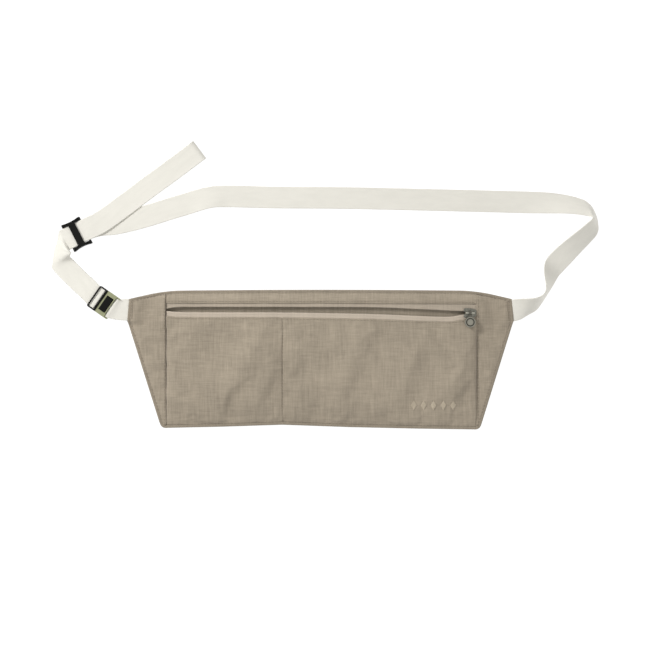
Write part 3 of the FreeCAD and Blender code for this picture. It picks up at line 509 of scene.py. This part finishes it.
FREE_END = [(*along_glide(GLIDE_REACH), GLIDE_HIGH, 0), (-204.0, 125.2, 2.7, 0),
            (-194.0, 131.8, 1.8, 0), (-180.0, 142.2, 1.3, 0), (-160.0, 157.2, 1.2, 0),
            (-135.0, 175.6, 0.3, 0), (-111.1, 193.5, 0.1, 0)]
STRAP_TO_GLIDE = [(-202.0, 123.9, 1.2, 0), (*along_glide(GLIDE_REACH), GLIDE_LOW, 0),
                  (*along_glide(0.0), GLIDE_LOW, 0)]


def strap_frames(route, steps=6):
    """(centre, across) along a smooth route; across points to the left of travel."""
    rows = catmull(route, steps)
    frames = []
    for i, (x, y, lowest, tilt) in enumerate(rows):
        before, after = rows[max(i - 1, 0)], rows[min(i + 1, len(rows) - 1)]
        heading = math.atan2(after[1] - before[1], after[0] - before[0])
        lean = math.radians(tilt)
        left = Vector((-math.sin(heading), math.cos(heading), 0))
        across = left * math.cos(lean) + Vector((0, 0, math.sin(lean)))
        rise = abs(math.sin(lean)) * STRAP_WIDTH / 2 + abs(math.cos(lean)) * STRAP_THICK / 2
        frames.append((Vector((x, y, lowest + rise)), across))
    return frames


def edge_frames(pairs, steps=5):
    """Frames of a strap whose two edges are given in plan."""
    rows = []
    for lx, ly, rx, ry, height, lean in pairs:
        over = max(0.0, STRAP_WIDTH ** 2 - (lx - rx) ** 2 - (ly - ry) ** 2) ** 0.5
        rows.append((lx, ly, height + over * lean, rx, ry, height))
    frames = []
    for row in catmull(rows, steps):
        left, right = Vector(row[:3]), Vector(row[3:])
        frames.append(((left + right) / 2, (left - right).normalized()))
    return frames


def loop_frames(steps=7):
    """Frames midway between the loop's two layers, each with the layers' spacing."""
    half = STRAP_WIDTH / 2
    middle = (GLIDE_LOW + GLIDE_HIGH + CAD_THICK) / 2
    rows = []
    for distance in (0.0, -GLIDE_REACH * 0.5, -GLIDE_REACH):
        x, y = along_glide(distance)
        rows.append((x - half * math.sin(GLIDE_TURN), y + half * math.cos(GLIDE_TURN), middle,
                     math.degrees(GLIDE_TURN) - 90, 0.0, GLIDE_HIGH - GLIDE_LOW))
    rows += LOOP
    x, y = along_buckle(BUCKLE_ENTRY)
    rows.append((x + half * math.sin(BUCKLE_TURN), y - half * math.cos(BUCKLE_TURN), BAR_HEIGHT,
                 math.degrees(BUCKLE_TURN) + 90, 0.0, 2 * WRAP_INNER + CAD_THICK))
    frames = []
    for x, y, height, direction, tilt, spacing in catmull(rows, steps):
        flat, lean = math.radians(direction), math.radians(tilt)
        across = Vector((math.cos(flat) * math.cos(lean), math.sin(flat) * math.cos(lean),
                         math.sin(lean)))
        frames.append((Vector((x, y, height)) + across * half, across, spacing))
    return frames


def loop_layer(side):
    """One layer of the loop, from the adjuster to the buckle: side is -1 below, 1 above."""
    middle = loop_frames()
    layer = []
    for i, (centre, across, spacing) in enumerate(middle):
        before, after = middle[max(i - 1, 0)][0], middle[min(i + 1, len(middle) - 1)][0]
        normal = (after - before).cross(across).normalized()
        layer.append((centre + normal * (side * spacing / 2), across))
    return layer


def wrap_frames(bar, towards, reach, swell=0.0, steps=16, squareness=0.6):
    """Frames round a strap bar: in on the low leg, round the bar, out on the high leg.

    The bend is a squared-off half turn, and swell lifts the high leg off the bar.
    """
    across = Vector((-math.sin(BUCKLE_TURN), math.cos(BUCKLE_TURN), 0))
    radius = WRAP_INNER + CAD_THICK / 2
    frames = []
    for step in range(steps + 1):
        angle = math.pi * step / steps
        up = -math.cos(angle)
        out = bar + towards * reach * math.sin(angle) ** squareness
        rise = math.copysign(abs(up) ** squareness, up) * radius + swell * max(0.0, up) ** 0.5
        frames.append((Vector((*along_buckle(out), BAR_HEIGHT + rise)), across))
    return frames


def strap_profile(cells=20):
    """Flat section with rounded selvedges that stand a hair proud."""
    half, depth, selvedge = STRAP_WIDTH / 2, STRAP_THICK / 2, 1.6
    top = [(-half + 0.12, depth * 0.55), (-half + 0.45, depth), (-half + 1.0, depth * 0.97)]
    flat = STRAP_WIDTH - 2 * selvedge
    inner = [(-half + selvedge + flat * i / cells, depth * 0.86) for i in range(cells + 1)]
    upper = [(-half, 0.0)] + top + inner + [(-w, h) for w, h in reversed(top)] + [(half, 0.0)]
    lower = [(w, -h) for w, h in reversed(upper[1:-1])]
    return upper + lower


def strap_from_frames(name, frames):
    """One strap through (centre, across) frames, with normals square to its path."""
    centres, acrosses = zip(*frames)
    normals = []
    for i, across in enumerate(acrosses):
        before, after = centres[max(i - 1, 0)], centres[min(i + 1, len(frames) - 1)]
        normals.append((after - before).cross(across).normalized())
    return sweep(name, centres, acrosses, normals, strap_profile(), WEBBING)


def path_length(frames):
    """Length in metres through the frames' centres."""
    return sum((b[0] - a[0]).length for a, b in zip(frames, frames[1:])) * MM


def make_waist_strap():
    """The whole waist strap as one length, from the pouch to the free end's tip."""
    standing = edge_frames(TWIST_AND_TURN) + strap_frames(STRAP_BACK_RUN + STRAP_TO_GLIDE)
    low, high = loop_layer(-1), loop_layer(1)
    bend = wrap_frames(RING_BAR, 1, 1.7, 0.75)
    end = [(centre, -across) for centre, across in strap_frames(
        [(*along_glide(0.0), GLIDE_HIGH, 0)] + FREE_END)]
    frames = standing + low[1:] + bend + high[::-1] + end[1:]
    strap = strap_from_frames("waist_strap", frames)
    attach(strap, ROOT)
    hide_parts("strap_twist", "strap_far_turn", "strap_back_run", "strap_to_adjuster",
                "strap_loop_lower", "strap_loop_upper", "strap_buckle_wrap", "strap_free_end")
    path_length(frames)


def make_short_strap():
    """The doubled strap from the housing's bar into the pouch's left end."""
    legs = []                    # the lower and the upper one, each a row of edge pairs
    for at_bar, between, at_pouch in ((1.1, 1.03, 1.63), (4.1, 2.9, 2.83)):
        legs.append(edge_frames([
            (-185.3, 55.55, -196.67, 39.1, at_bar, 0), (-182.0, 56.0, -190.4, 37.2, between, 0),
            (-177.4, 56.3, -178.0, 36.3, at_pouch, 0), (-171.6, 56.4, -171.6, 36.4, at_pouch, 0)]))
    low, high = legs
    bend = wrap_frames(HOUSING_BAR, -1, 1.9)
    frames = low[:0:-1] + bend + high[1:]
    strap = strap_from_frames("short_strap", frames)
    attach(strap, ROOT)
    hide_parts("short_strap_wrap", "short_strap_lower", "short_strap_upper")
    path_length(frames)


make_waist_strap()
make_short_strap()


# ---------------------------------------------------------------- pouch outline
# The same lines as in part.py, in millimetres.
LEFT_SEAM, RIGHT_SEAM, DIVIDER = -141.6, 143.2, -35.0
TOP_FALL, TOP_END, WIDE_END = 0.9, (175.5, 56.0), (177.3, 36.0)
POUCH_TOP = 64.4
BOTTOM_EDGE = [(-146.7, -62.4), (-90.0, -61.2), (-35.0, -59.4), (27.0, -61.6),
               (90.0, -63.0), (146.7, -63.8)]
MOUTH_LOW = [(-141.3, 45.2), (-133.0, 44.3), (-110.0, 43.9), (-40.0, 43.8), (0.0, 43.2),
             (50.0, 42.2), (100.0, 40.2), (120.0, 40.0), (127.5, 41.3), (131.5, 41.7),
             (135.0, 42.0), (137.8, 42.9), (142.9, 43.0)]
MOUTH_HIGH = [(-141.3, 47.0), (-133.0, 48.3), (-110.0, 48.6), (-40.0, 48.6), (0.0, 48.5),
              (50.0, 48.2), (100.0, 46.2), (120.0, 45.2), (127.5, 44.9), (131.5, 44.7),
              (135.0, 44.4), (137.8, 43.4), (142.9, 43.2)]
HIGH_HEM = [(-141.3, 52.2), (0.0, 52.2), (142.9, 51.4)]
LOW_BAND = 4.6

# The cloths' own heights: upper faces of the back, the seams, the zip and the pockets.
BACK_TOP, SEAM_TOP, ZIP_TOP, BELLY_TOP = 1.0, 1.8, 6.2, 6.5
BELLY = [(0.0, 0.0), (0.08, 0.5), (0.2, 0.86), (0.45, 1.0), (0.75, 1.0), (1.0, 0.97)]
RIM = 2.4                        # width of the turned and stitched edge
CLOTH_THICK = 0.7
CLOTH_FLOOR = BACK_TOP + CLOTH_THICK + 0.05      # lowest top face of a cloth over the back
ROUNDING = 16.0                  # how far each side of a top corner its rounding reaches
STRAP_LAYER = 1.2                # what one sewn-in strap layer lifts the cloth by


def top_edge(x):
    """The pouch's top edge, with the corner above each side seam rounded off."""
    slope = (TOP_END[1] - POUCH_TOP + TOP_FALL) / (TOP_END[0] - RIGHT_SEAM)
    past = abs(x) - RIGHT_SEAM
    drop = 0.0
    if past >= ROUNDING:
        drop = slope * past
    elif past >= -ROUNDING:
        drop = slope * (past + ROUNDING) ** 2 / (4 * ROUNDING)
    return POUCH_TOP - TOP_FALL * min(1.0, abs(x) / RIGHT_SEAM) ** 2 + drop


def smooth(value):
    value = min(1.0, max(0.0, value))
    return value * value * (3 - 2 * value)


def wobble(x, y, seed, wavelength):
    """Smooth noise from -1 to 1 with a given wavelength in millimetres."""
    return noise_value(Vector((x / wavelength, y / wavelength, seed * 7.31)))


def zip_level(x, y):
    """1 where the cloth stands at the zip's height, 0 where it lies at a seam."""
    below = smooth((y - (lerp(MOUTH_LOW, x) - LOW_BAND - 15.0)) / 12.0)
    above = 1.0 - smooth((y - 56.0) / 7.0)
    return below * above


def strap_lift(x, y):
    """How far a strap that is sewn in between the cloths lifts the front one."""
    layers, middle = (2, 46.3) if x < 0 else (1, 44.4)
    along = smooth((abs(x) - 158.0) / 13.0)
    across = 1.0 - smooth((abs(y - middle) - 10.4) / 3.0)
    return layers * STRAP_LAYER * along * across


def end_edge(side, share):
    """Point on the pouch's slanted end, 0 at the bottom and 1 at the top."""
    low = BOTTOM_EDGE[0][1] if side < 0 else BOTTOM_EDGE[-1][1]
    corner = [(142.6, low + 0.02), (144.6, low + 0.45), (146.3, low + 1.7), (147.6, low + 4.1)]
    line = corner + [WIDE_END, TOP_END]
    lengths = [0.0]
    for a, b in zip(line, line[1:]):
        lengths.append(lengths[-1] + math.dist(a, b))
    at = share * lengths[-1]
    return (side * float(np.interp(at, lengths, [p[0] for p in line])),
            float(np.interp(at, lengths, [p[1] for p in line])))


def outline(cells=62):
    """The pouch's edge anticlockwise from the top left, about one point every 2 mm."""
    points = [end_edge(-1, 1 - i / cells) for i in range(cells + 1)]
    points += [(x, lerp(BOTTOM_EDGE, x)) for x in np.arange(-140.0, 140.1, 2.0)]
    points += [end_edge(1, i / cells) for i in range(cells + 1)]
    points += [(x, top_edge(x)) for x in np.arange(174.0, -174.1, -2.0)]
    return [Vector((x, y, 0)) for x, y in points]


def inset(points, distance):
    """The closed outline moved inwards."""
    moved = []
    for i, point in enumerate(points):
        ahead = (points[(i + 1) % len(points)] - points[i - 1]).normalized()
        moved.append(point + Vector((-ahead.y, ahead.x, 0)) * distance)
    return moved


# ---------------------------------------------------------------- cloth panels
MAX_SWING = 2.5                  # furthest that the simulation may move cloth up or down


def settle_cloth(piece, pinned, growth, frames=26, bending=0.6):
    """Let a slightly too large cloth find its own soft folds between its pinned edges."""
    group = piece.vertex_groups.new(name="pin")
    group.add(pinned, 1.0, "REPLACE")
    cloth = add_modifier(piece, "CLOTH")
    cloth.settings.quality = 6
    cloth.settings.mass = 0.12
    cloth.settings.tension_stiffness = 12.0
    cloth.settings.compression_stiffness = 12.0
    cloth.settings.shear_stiffness = 4.0
    cloth.settings.bending_stiffness = bending
    cloth.settings.air_damping = 3.0
    cloth.settings.vertex_group_mass = "pin"
    cloth.settings.shrink_min = -growth
    cloth.settings.effector_weights.gravity = 0.0
    cloth.collision_settings.use_collision = False
    cloth.point_cache.frame_start, cloth.point_cache.frame_end = 1, frames
    scene = bpy.context.scene
    scene.frame_start, scene.frame_end = 1, frames
    for step in range(1, frames + 1):
        scene.frame_set(step)
    apply_modifiers(piece)
    scene.frame_set(1)
    piece.vertex_groups.clear()


def panel(name, columns, rows, place, growth, floor):
    """A cloth panel on a grid: place(i, j) gives (x, y, top z), floor(x, y) the lowest z.

    With a growth it is simulated, held along its sides, its foot and the top two rows.
    """
    vertices = [place(i, j) for j in range(rows) for i in range(columns)]
    piece = new_piece(name, vertices, grid_faces(rows, columns), CLOTH)
    if growth:
        pinned = [j * columns + i for j in range(rows) for i in range(columns)
                  if i in (0, columns - 1) or j == 0 or j >= rows - 2]
        settle_cloth(piece, pinned, growth)
    for vertex, start in zip(piece.data.vertices, vertices):
        x, y, z = vertex.co / MM
        swing = max(-MAX_SWING, min(MAX_SWING, z - start[2]))
        z = start[2] + swing + 0.16 * wobble(x, y, len(name), 9.0)
        vertex.co.z = max(z, floor(x, y)) * MM
    add_modifier(piece, "SUBSURF", levels=1, render_levels=1)
    add_modifier(piece, "SOLIDIFY", thickness=CLOTH_THICK * MM, offset=-1.0)
    apply_modifiers(piece)
    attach(piece, ROOT)
    return piece


def sink(away, tuck):
    """Share of a pocket's height at a distance from a seam; tuck is (share held, reach)."""
    return 1 - (1 - tuck[0]) * math.exp(-away / tuck[1])


# Soft folds pressed in by use: (start x, y, end x, y, height, half width).
FOLDS = [(-47.0, 38.0, -90.0, -40.0, 1.9, 9.0), (-40.0, 8.0, -62.0, -52.0, 0.9, 6.0),
         (-136.0, 22.0, -104.0, 42.0, 0.8, 6.5), (-134.0, -30.0, -112.0, -58.0, 0.7, 6.0),
         (-22.0, 34.0, -26.0, -50.0, 0.9, 9.0), (42.0, 34.0, 12.0, -44.0, 1.0, 10.0),
         (96.0, 30.0, 74.0, -30.0, 0.8, 9.0), (134.0, 10.0, 120.0, -46.0, 0.8, 8.0)]


def fold_height(x, y):
    """Height that the folds add, each a ridge that fades past its two ends."""
    total = 0.0
    for x0, y0, x1, y1, height, half in FOLDS:
        along, start = Vector((x1 - x0, y1 - y0)), Vector((x - x0, y - y0))
        share = start.dot(along) / along.length_squared
        away = (start - along * min(1.0, max(0.0, share))).length
        bent = away + 2.5 * wobble(x, y, 31, 40.0)
        total += height * math.exp(-(bent / half) ** 2)
    return total


def pocket_place(left, right, columns, rows, left_tuck, right_tuck):
    """The function that places a pocket's grid points."""
    def place(i, j):
        x = left + (right - left) * i / (columns - 1)
        low = lerp(BOTTOM_EDGE, x) + RIM
        lip = lerp(MOUTH_LOW, x) - LOW_BAND
        share = j / (rows - 1)
        y = low + share * (lip - low)
        rise = (sink(x - left, left_tuck) * sink(right - x, right_tuck)
                * smooth_belly(share))
        z = SEAM_TOP + rise * (BELLY_TOP - SEAM_TOP)
        level = zip_level(x, y)
        z = z * (1 - level) + ZIP_TOP * level
        pucker = math.exp(-(y - low) / 6.0) * math.sin(x / 1.1 + 2.6 * wobble(x, 0, 3, 14.0))
        z += fold_height(x, y) * rise * (1 - level)
        z += 0.6 * pucker * smooth((y - low) / 2.0)
        z += 0.5 * wobble(x + 0.6 * y, 0.4 * y, 9, 17.0) * rise
        seam_wave = 0.7 * wobble(0, y, 5, 8.0) * math.exp(-(x - LEFT_SEAM) / 3.0)
        return x + seam_wave, y, z
    return place


def smooth_belly(share):
    """How full a pocket is at a share of its height: BELLY averaged over its corners."""
    around = [max(0.0, share + step) for step in (-0.06, -0.03, 0.0, 0.03, 0.06)]
    return sum(lerp(BELLY, place) for place in around) / len(around) * smooth(share / 0.04)


def pocket_floor(x, y):
    """No cloth goes lower than the back panel, nor into the zip tape near the mouth."""
    lip = lerp(MOUTH_LOW, max(-141.0, min(142.8, x))) - LOW_BAND
    return ZIP_TOP - 0.1 if y > lip - 5.0 else CLOTH_FLOOR


def make_pocket(name, node_name, sides, tucks, growth, cell=2.1, rows=50):
    """A pocket front between two seams; tucks gives how each seam holds the cloth down."""
    columns = int((sides[1] - sides[0]) / cell) + 1
    piece = panel(name, columns, rows, pocket_place(*sides, columns, rows, *tucks), growth,
                  pocket_floor)
    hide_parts(node_name)
    return piece


def make_side(side, word, seam, gap, columns=17, rows=56):
    """One flat end of the pouch, from near the pocket's seam to the slanted edge."""
    low = lerp(BOTTOM_EDGE, seam) + RIM

    def place(i, j):
        share = j / (rows - 1)
        inner = Vector((seam + side * gap, low + share * (top_edge(seam) - RIM - low), 0))
        edge = Vector((*end_edge(side, 0.03 + 0.955 * share), 0))
        towards = (edge - inner).normalized()
        outer = edge - towards * RIM
        point = inner.lerp(outer, i / (columns - 1))
        away = abs(point.x - seam)
        z = SEAM_TOP - 0.05
        z += 0.6 * (1 - math.exp(-away / 4.0)) * smooth((outer - point).length / 5.0)
        z += (ZIP_TOP - SEAM_TOP) * zip_level(seam * 0.98, point.y) * math.exp(-(away / 7.5) ** 2)
        z += strap_lift(point.x, point.y)
        return point.x, point.y, z

    def floor(x, y):
        return CLOTH_FLOOR + strap_lift(x, y)

    piece = panel("side_cloth_" + word, columns, rows, place, 0.012, floor)
    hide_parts(word + "_side_panel")
    return piece


def make_upper_strip(columns=190, rows=9):
    """The strip above the zip: level over the tape, then down to the top edge."""
    left, right = LEFT_SEAM - 0.2, RIGHT_SEAM + 0.2

    def place(i, j):
        x = left + (right - left) * i / (columns - 1)
        inside = max(-141.3, min(142.9, x))
        hem, top = lerp(HIGH_HEM, inside), top_edge(x) - RIM + 0.2
        y = hem + (top - hem) * j / (rows - 1)
        z = SEAM_TOP + (ZIP_TOP - SEAM_TOP) * (1 - smooth((y - 55.0) / 8.0))
        z += 0.25 * wobble(x, y, 11, 16.0) * smooth((top - y) / 3.0)
        return x, y + 0.25 * wobble(x, 0, 12, 22.0) * (1 - j / (rows - 1)), z

    piece = panel("upper_cloth", columns, rows, place, 0.0, lambda x, y: BACK_TOP + CLOTH_THICK)
    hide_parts("upper_front_strip")
    return piece


def make_back():
    """The plain cloth behind everything, cut to the pouch's outline."""
    line = inset(outline(), 0.25)
    vertices = [(p.x, p.y, height) for height in (0.05, BACK_TOP) for p in line]
    faces = grid_faces(2, len(line), closed=True) + end_caps(2, len(line))
    piece = new_piece("back_cloth", vertices, faces, CLOTH, smooth=False)
    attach(piece, ROOT)
    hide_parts("back_panel")


def make_rim():
    """The turned edge all round the pouch, a soft roll that climbs over the straps; its cloth is the
    pouch cloth darkened as painted shade.
    """
    path = inset(outline(), RIM / 2 - 0.05)
    half, tall = RIM / 2 + 0.1, 0.95
    profile = [(-half, 0.0), (-half + 0.03, 0.4), (-half + 0.3, 0.8), (-half + 0.8, tall),
               (0.2, tall), (half - 0.7, 0.94), (half + 0.3, 0.78), (half + 0.5, 0.6),
               (half + 0.5, 0.0)]
    points = []
    for i, place in enumerate(path):
        ahead = (path[(i + 1) % len(path)] - path[i - 1]).normalized()
        inward = Vector((-ahead.y, ahead.x, 0))
        lift = strap_lift(place.x, place.y) + 0.10 * wobble(place.x, place.y, 21, 7.0)
        foot = BACK_TOP - 0.02 + max(0, lift)
        points += [place + inward * w + Vector((0, 0, foot + h)) for w, h in profile]
    size, last = len(profile), (len(path) - 1) * len(profile)
    faces = grid_faces(len(path), size, closed=True)
    faces += [(last + c, last + (c + 1) % size, (c + 1) % size, c) for c in range(size)]
    piece = new_piece("turned_edge", points, faces, CLOTH_PAINTED_SHADE)
    outward_normals(piece)
    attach(piece, ROOT)
    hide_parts("bottom_hem")
    return piece


# ---------------------------------------------------------------- zip
# Section of a tape: (distance from the mouth's edge, height), folded over the coil.
TAPE_SECTION = [(0.05, 5.15), (0.12, 5.32), (0.4, 5.46), (1.1, 5.52), (1.8, 5.46), (2.15, 5.34),
                (2.5, 5.26), (3.4, 5.30), (5.0, 5.34), (6.6, 5.36), (8.1, 5.34),
                (8.1, 5.04), (5.0, 5.04), (2.6, 4.98), (2.1, 5.06), (1.1, 5.22), (0.4, 5.16)]
COIL_PITCH, COIL_STEPS, COIL_WIRE = 1.15, 10, 0.24
COIL_START, COIL_END, COIL_HEIGHT = -141.0, 142.6, 4.78


def make_tape(half, edge, away, material):
    line = catmull(edge, 16)
    vertices = []
    for x, y in line:
        vertices += [(x, y + away * distance, height) for distance, height in TAPE_SECTION]
    count = len(TAPE_SECTION)
    faces = grid_faces(len(line), count, closed=True) + end_caps(len(line), count)
    piece = new_piece("tape_" + half, vertices, faces, material)
    outward_normals(piece)
    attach(piece, ROOT)
    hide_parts("zip_tape_" + half)


def make_coil(half, edge, away):
    """A nylon filament wound in flattened turns along the mouth's edge."""
    turns = int((COIL_END - COIL_START) / COIL_PITCH)
    points = []
    for step in range(turns * COIL_STEPS + 1):
        angle = 2 * math.pi * step / COIL_STEPS
        x = COIL_START + COIL_PITCH * step / COIL_STEPS
        y = lerp(edge, x) + away * (1.05 + 0.85 * math.cos(angle))
        points.append(Vector((x, y, COIL_HEIGHT + 0.32 * math.sin(angle))))
    piece = tube("coil_" + half, points, COIL_WIRE, 5, COIL)
    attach(piece, ROOT)
    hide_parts("zip_coil_" + half)


def tube(name, points, radius, sides, material):
    """A round tube through points, with its ends closed."""
    vertices = []
    side = Vector((0, 0, 1))
    for i, point in enumerate(points):
        ahead = (points[min(i + 1, len(points) - 1)] - points[max(i - 1, 0)]).normalized()
        side = (side - ahead * side.dot(ahead)).normalized()
        other = ahead.cross(side)
        for k in range(sides):
            angle = 2 * math.pi * k / sides
            vertices.append(point + (side * math.cos(angle) + other * math.sin(angle)) * radius)
    faces = grid_faces(len(points), sides, closed=True) + end_caps(len(points), sides)
    return new_piece(name, vertices, faces, material)


# ---------------------------------------------------------------- stitching
class Stitches:
    """Short raised threads laid on whatever cloth lies below them."""

    def __init__(self, targets):
        vertices, faces = [], []
        for target in targets:
            first = len(vertices)
            vertices += [tuple(target.matrix_world @ v.co / MM) for v in target.data.vertices]
            faces += [tuple(first + k for k in face.vertices) for face in target.data.polygons]
        self.cloth = BVHTree.FromPolygons(vertices, faces)
        self.vertices, self.faces = [], []

    def height(self, x, y):
        hit = self.cloth.ray_cast(Vector((x, y, 40.0)), Vector((0, 0, -1)))[0]
        return hit.z if hit else None

    def thread(self, start, end, radius=0.17, sink=0.10, lift=0.0):
        """One stitch: its ends dive into the cloth, its middle stands proud."""
        places = [start.lerp(end, share) for share in (0.0, 0.12, 0.5, 0.88, 1.0)]
        grounds = [self.height(place.x, place.y) for place in places]
        if None in grounds:
            return
        across = Vector((start.y - end.y, end.x - start.x, 0)).normalized()
        first, sides = len(self.vertices), 6
        for place, ground in zip(places, grounds):
            girth = radius * (0.35 if place in (places[0], places[-1]) else 1.0)
            middle = Vector((place.x, place.y, ground + lift - sink + girth))
            for k in range(sides):
                angle = 2 * math.pi * k / sides
                self.vertices.append(middle + across * girth * math.cos(angle)
                                     + Vector((0, 0, girth * math.sin(angle))))
        faces = grid_faces(len(places), sides, closed=True) + end_caps(len(places), sides)
        self.faces += [tuple(first + k for k in face) for face in faces]

    def row(self, path, length=2.3, gap=0.8, radius=0.17):
        """Stitches of equal length along a path of (x, y)."""
        path = [Vector((p[0], p[1], 0)) for p in path]
        run = [0.0]
        for a, b in zip(path, path[1:]):
            run.append(run[-1] + (b - a).length)
        along_x, along_y = [[(r, p[axis]) for r, p in zip(run, path)] for axis in (0, 1)]

        def at(distance):
            return Vector((lerp(along_x, distance), lerp(along_y, distance), 0))

        place = gap / 2
        while place + length < run[-1]:
            self.thread(at(place), at(place + length), radius)
            place += length + gap

    def piece(self, name, material):
        made = new_piece(name, self.vertices, self.faces, material)
        outward_normals(made)
        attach(made, ROOT)
        return made


def make_stitching(cloths):
    """Rows round the edge, down the divider, along both sides of the zip and at the seams."""
    rows = Stitches(cloths)
    ring = inset(outline(), RIM + 0.35)
    rows.row([(p.x, p.y) for p in ring + ring[:1]])
    low = BOTTOM_EDGE[2][1] + RIM
    lip = lerp(MOUTH_LOW, DIVIDER) - LOW_BAND
    rows.row([(DIVIDER + 0.35, low), (DIVIDER + 0.35, lip - 0.8)])
    xs = np.arange(LEFT_SEAM + 1.0, RIGHT_SEAM - 0.5, 2.0)
    rows.row([(x, lerp(MOUTH_LOW, x) - LOW_BAND - 1.5) for x in xs])
    rows.row([(x, lerp(HIGH_HEM, x) + 1.5) for x in xs])
    for x in (LEFT_SEAM - 1.5, RIGHT_SEAM + 1.6):
        rows.row([(x, lerp(BOTTOM_EDGE, x) + RIM), (x, top_edge(x) - RIM)])
    made = rows.piece("stitching", THREAD)
    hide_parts("divider_stitching")


def make_bar_tacks(cloths):
    """Dense zigzags across each strap's sewn end."""
    stitches, tall, half, slant = 26, 17.0, 0.8, 0.34
    tacks = Stitches(cloths)
    for x, middle, lean in ((-172.6, 46.4, 0.02), (172.4, 44.4, -0.09)):
        for i in range(stitches):
            rise = tall * (i / (stitches - 1) - 0.5)
            start = Vector((x - half + lean * rise, middle + rise, 0))
            tacks.thread(start, start + Vector((2 * half, slant, 0)), radius=0.15)
    made = tacks.piece("bar_tacks", THREAD)
    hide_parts("left_strap_bar_tack", "right_strap_bar_tack")


def make_motif(cloths):
    """Five satin-stitched lozenges in a row."""
    middle_x, middle_y, spacing = 103.5, -41.4, 9.0
    stitches, tall, wide, slant = 25, 8.4, 6.0, 0.24
    satin = Stitches(cloths)
    for number in range(-2, 3):
        middle = Vector((middle_x + spacing * number, middle_y, 0))
        for i in range(stitches):
            rise = tall * (i / (stitches - 1) - 0.5)
            half = wide / 2 * (1 - abs(rise) / 4.5)
            reach = Vector((half, slant / 2, 0))
            place = middle + Vector((0, rise, 0))
            satin.thread(place - reach, place + reach, radius=0.22, sink=0.0, lift=0.12)
    made = satin.piece("motif", MOTIF)
    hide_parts("embroidered_motif")


LEFT_TUCK, DIVIDER_TUCK, RIGHT_TUCK = (0.42, 3.0), (0.93, 3.5), (0.35, 2.6)
CLOTHS = [
    make_pocket("left_pocket", "front_panel_left", (LEFT_SEAM, DIVIDER),
                (LEFT_TUCK, DIVIDER_TUCK), 0.015),
    make_pocket("right_pocket", "front_panel_right", (DIVIDER, RIGHT_SEAM),
                (DIVIDER_TUCK, RIGHT_TUCK), 0.012),
    make_side(-1, "left", LEFT_SEAM, 0.45),
    make_side(1, "right", RIGHT_SEAM, -0.5),
    make_upper_strip(),
    make_rim()]
make_back()
for half, edge, away, material in (("lower", MOUTH_LOW, -1, TAPE),
                                   ("upper", MOUTH_HIGH, 1, SHADED_TAPE)):
    make_tape(half, edge, away, material)
    make_coil(half, edge, away)
make_stitching(CLOTHS)
make_bar_tacks(CLOTHS)
make_motif(CLOTHS)


# ---------------------------------------------------------------- hardware
# Moving and moulded parts shown as they are in the CAD: (node, material, bevel).
HARDWARE = [("tri_glide", BLACK, 0.3), ("buckle_male_half", BLACK, 0.18),
            ("buckle_push_tab", BLACK, 0.25), ("buckle_housing", OLIVE, 0.25),
            ("zip_slider", SLIDER_METAL, 0.28), ("zip_pull", PULL_METAL, 0.25)]


def finish_cad(name, material, bevel):
    """Give a CAD node its material, and soften its edges with a small bevel."""
    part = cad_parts[name]
    part.data.materials.clear()
    part.data.materials.append(material)
    add_modifier(part, "WELD", merge_threshold=0.00001)
    add_modifier(part, "BEVEL", width=bevel * MM, segments=3, limit_method="ANGLE",
                 angle_limit=math.radians(35))


for name, material, bevel in HARDWARE:
    finish_cad(name, material, bevel)
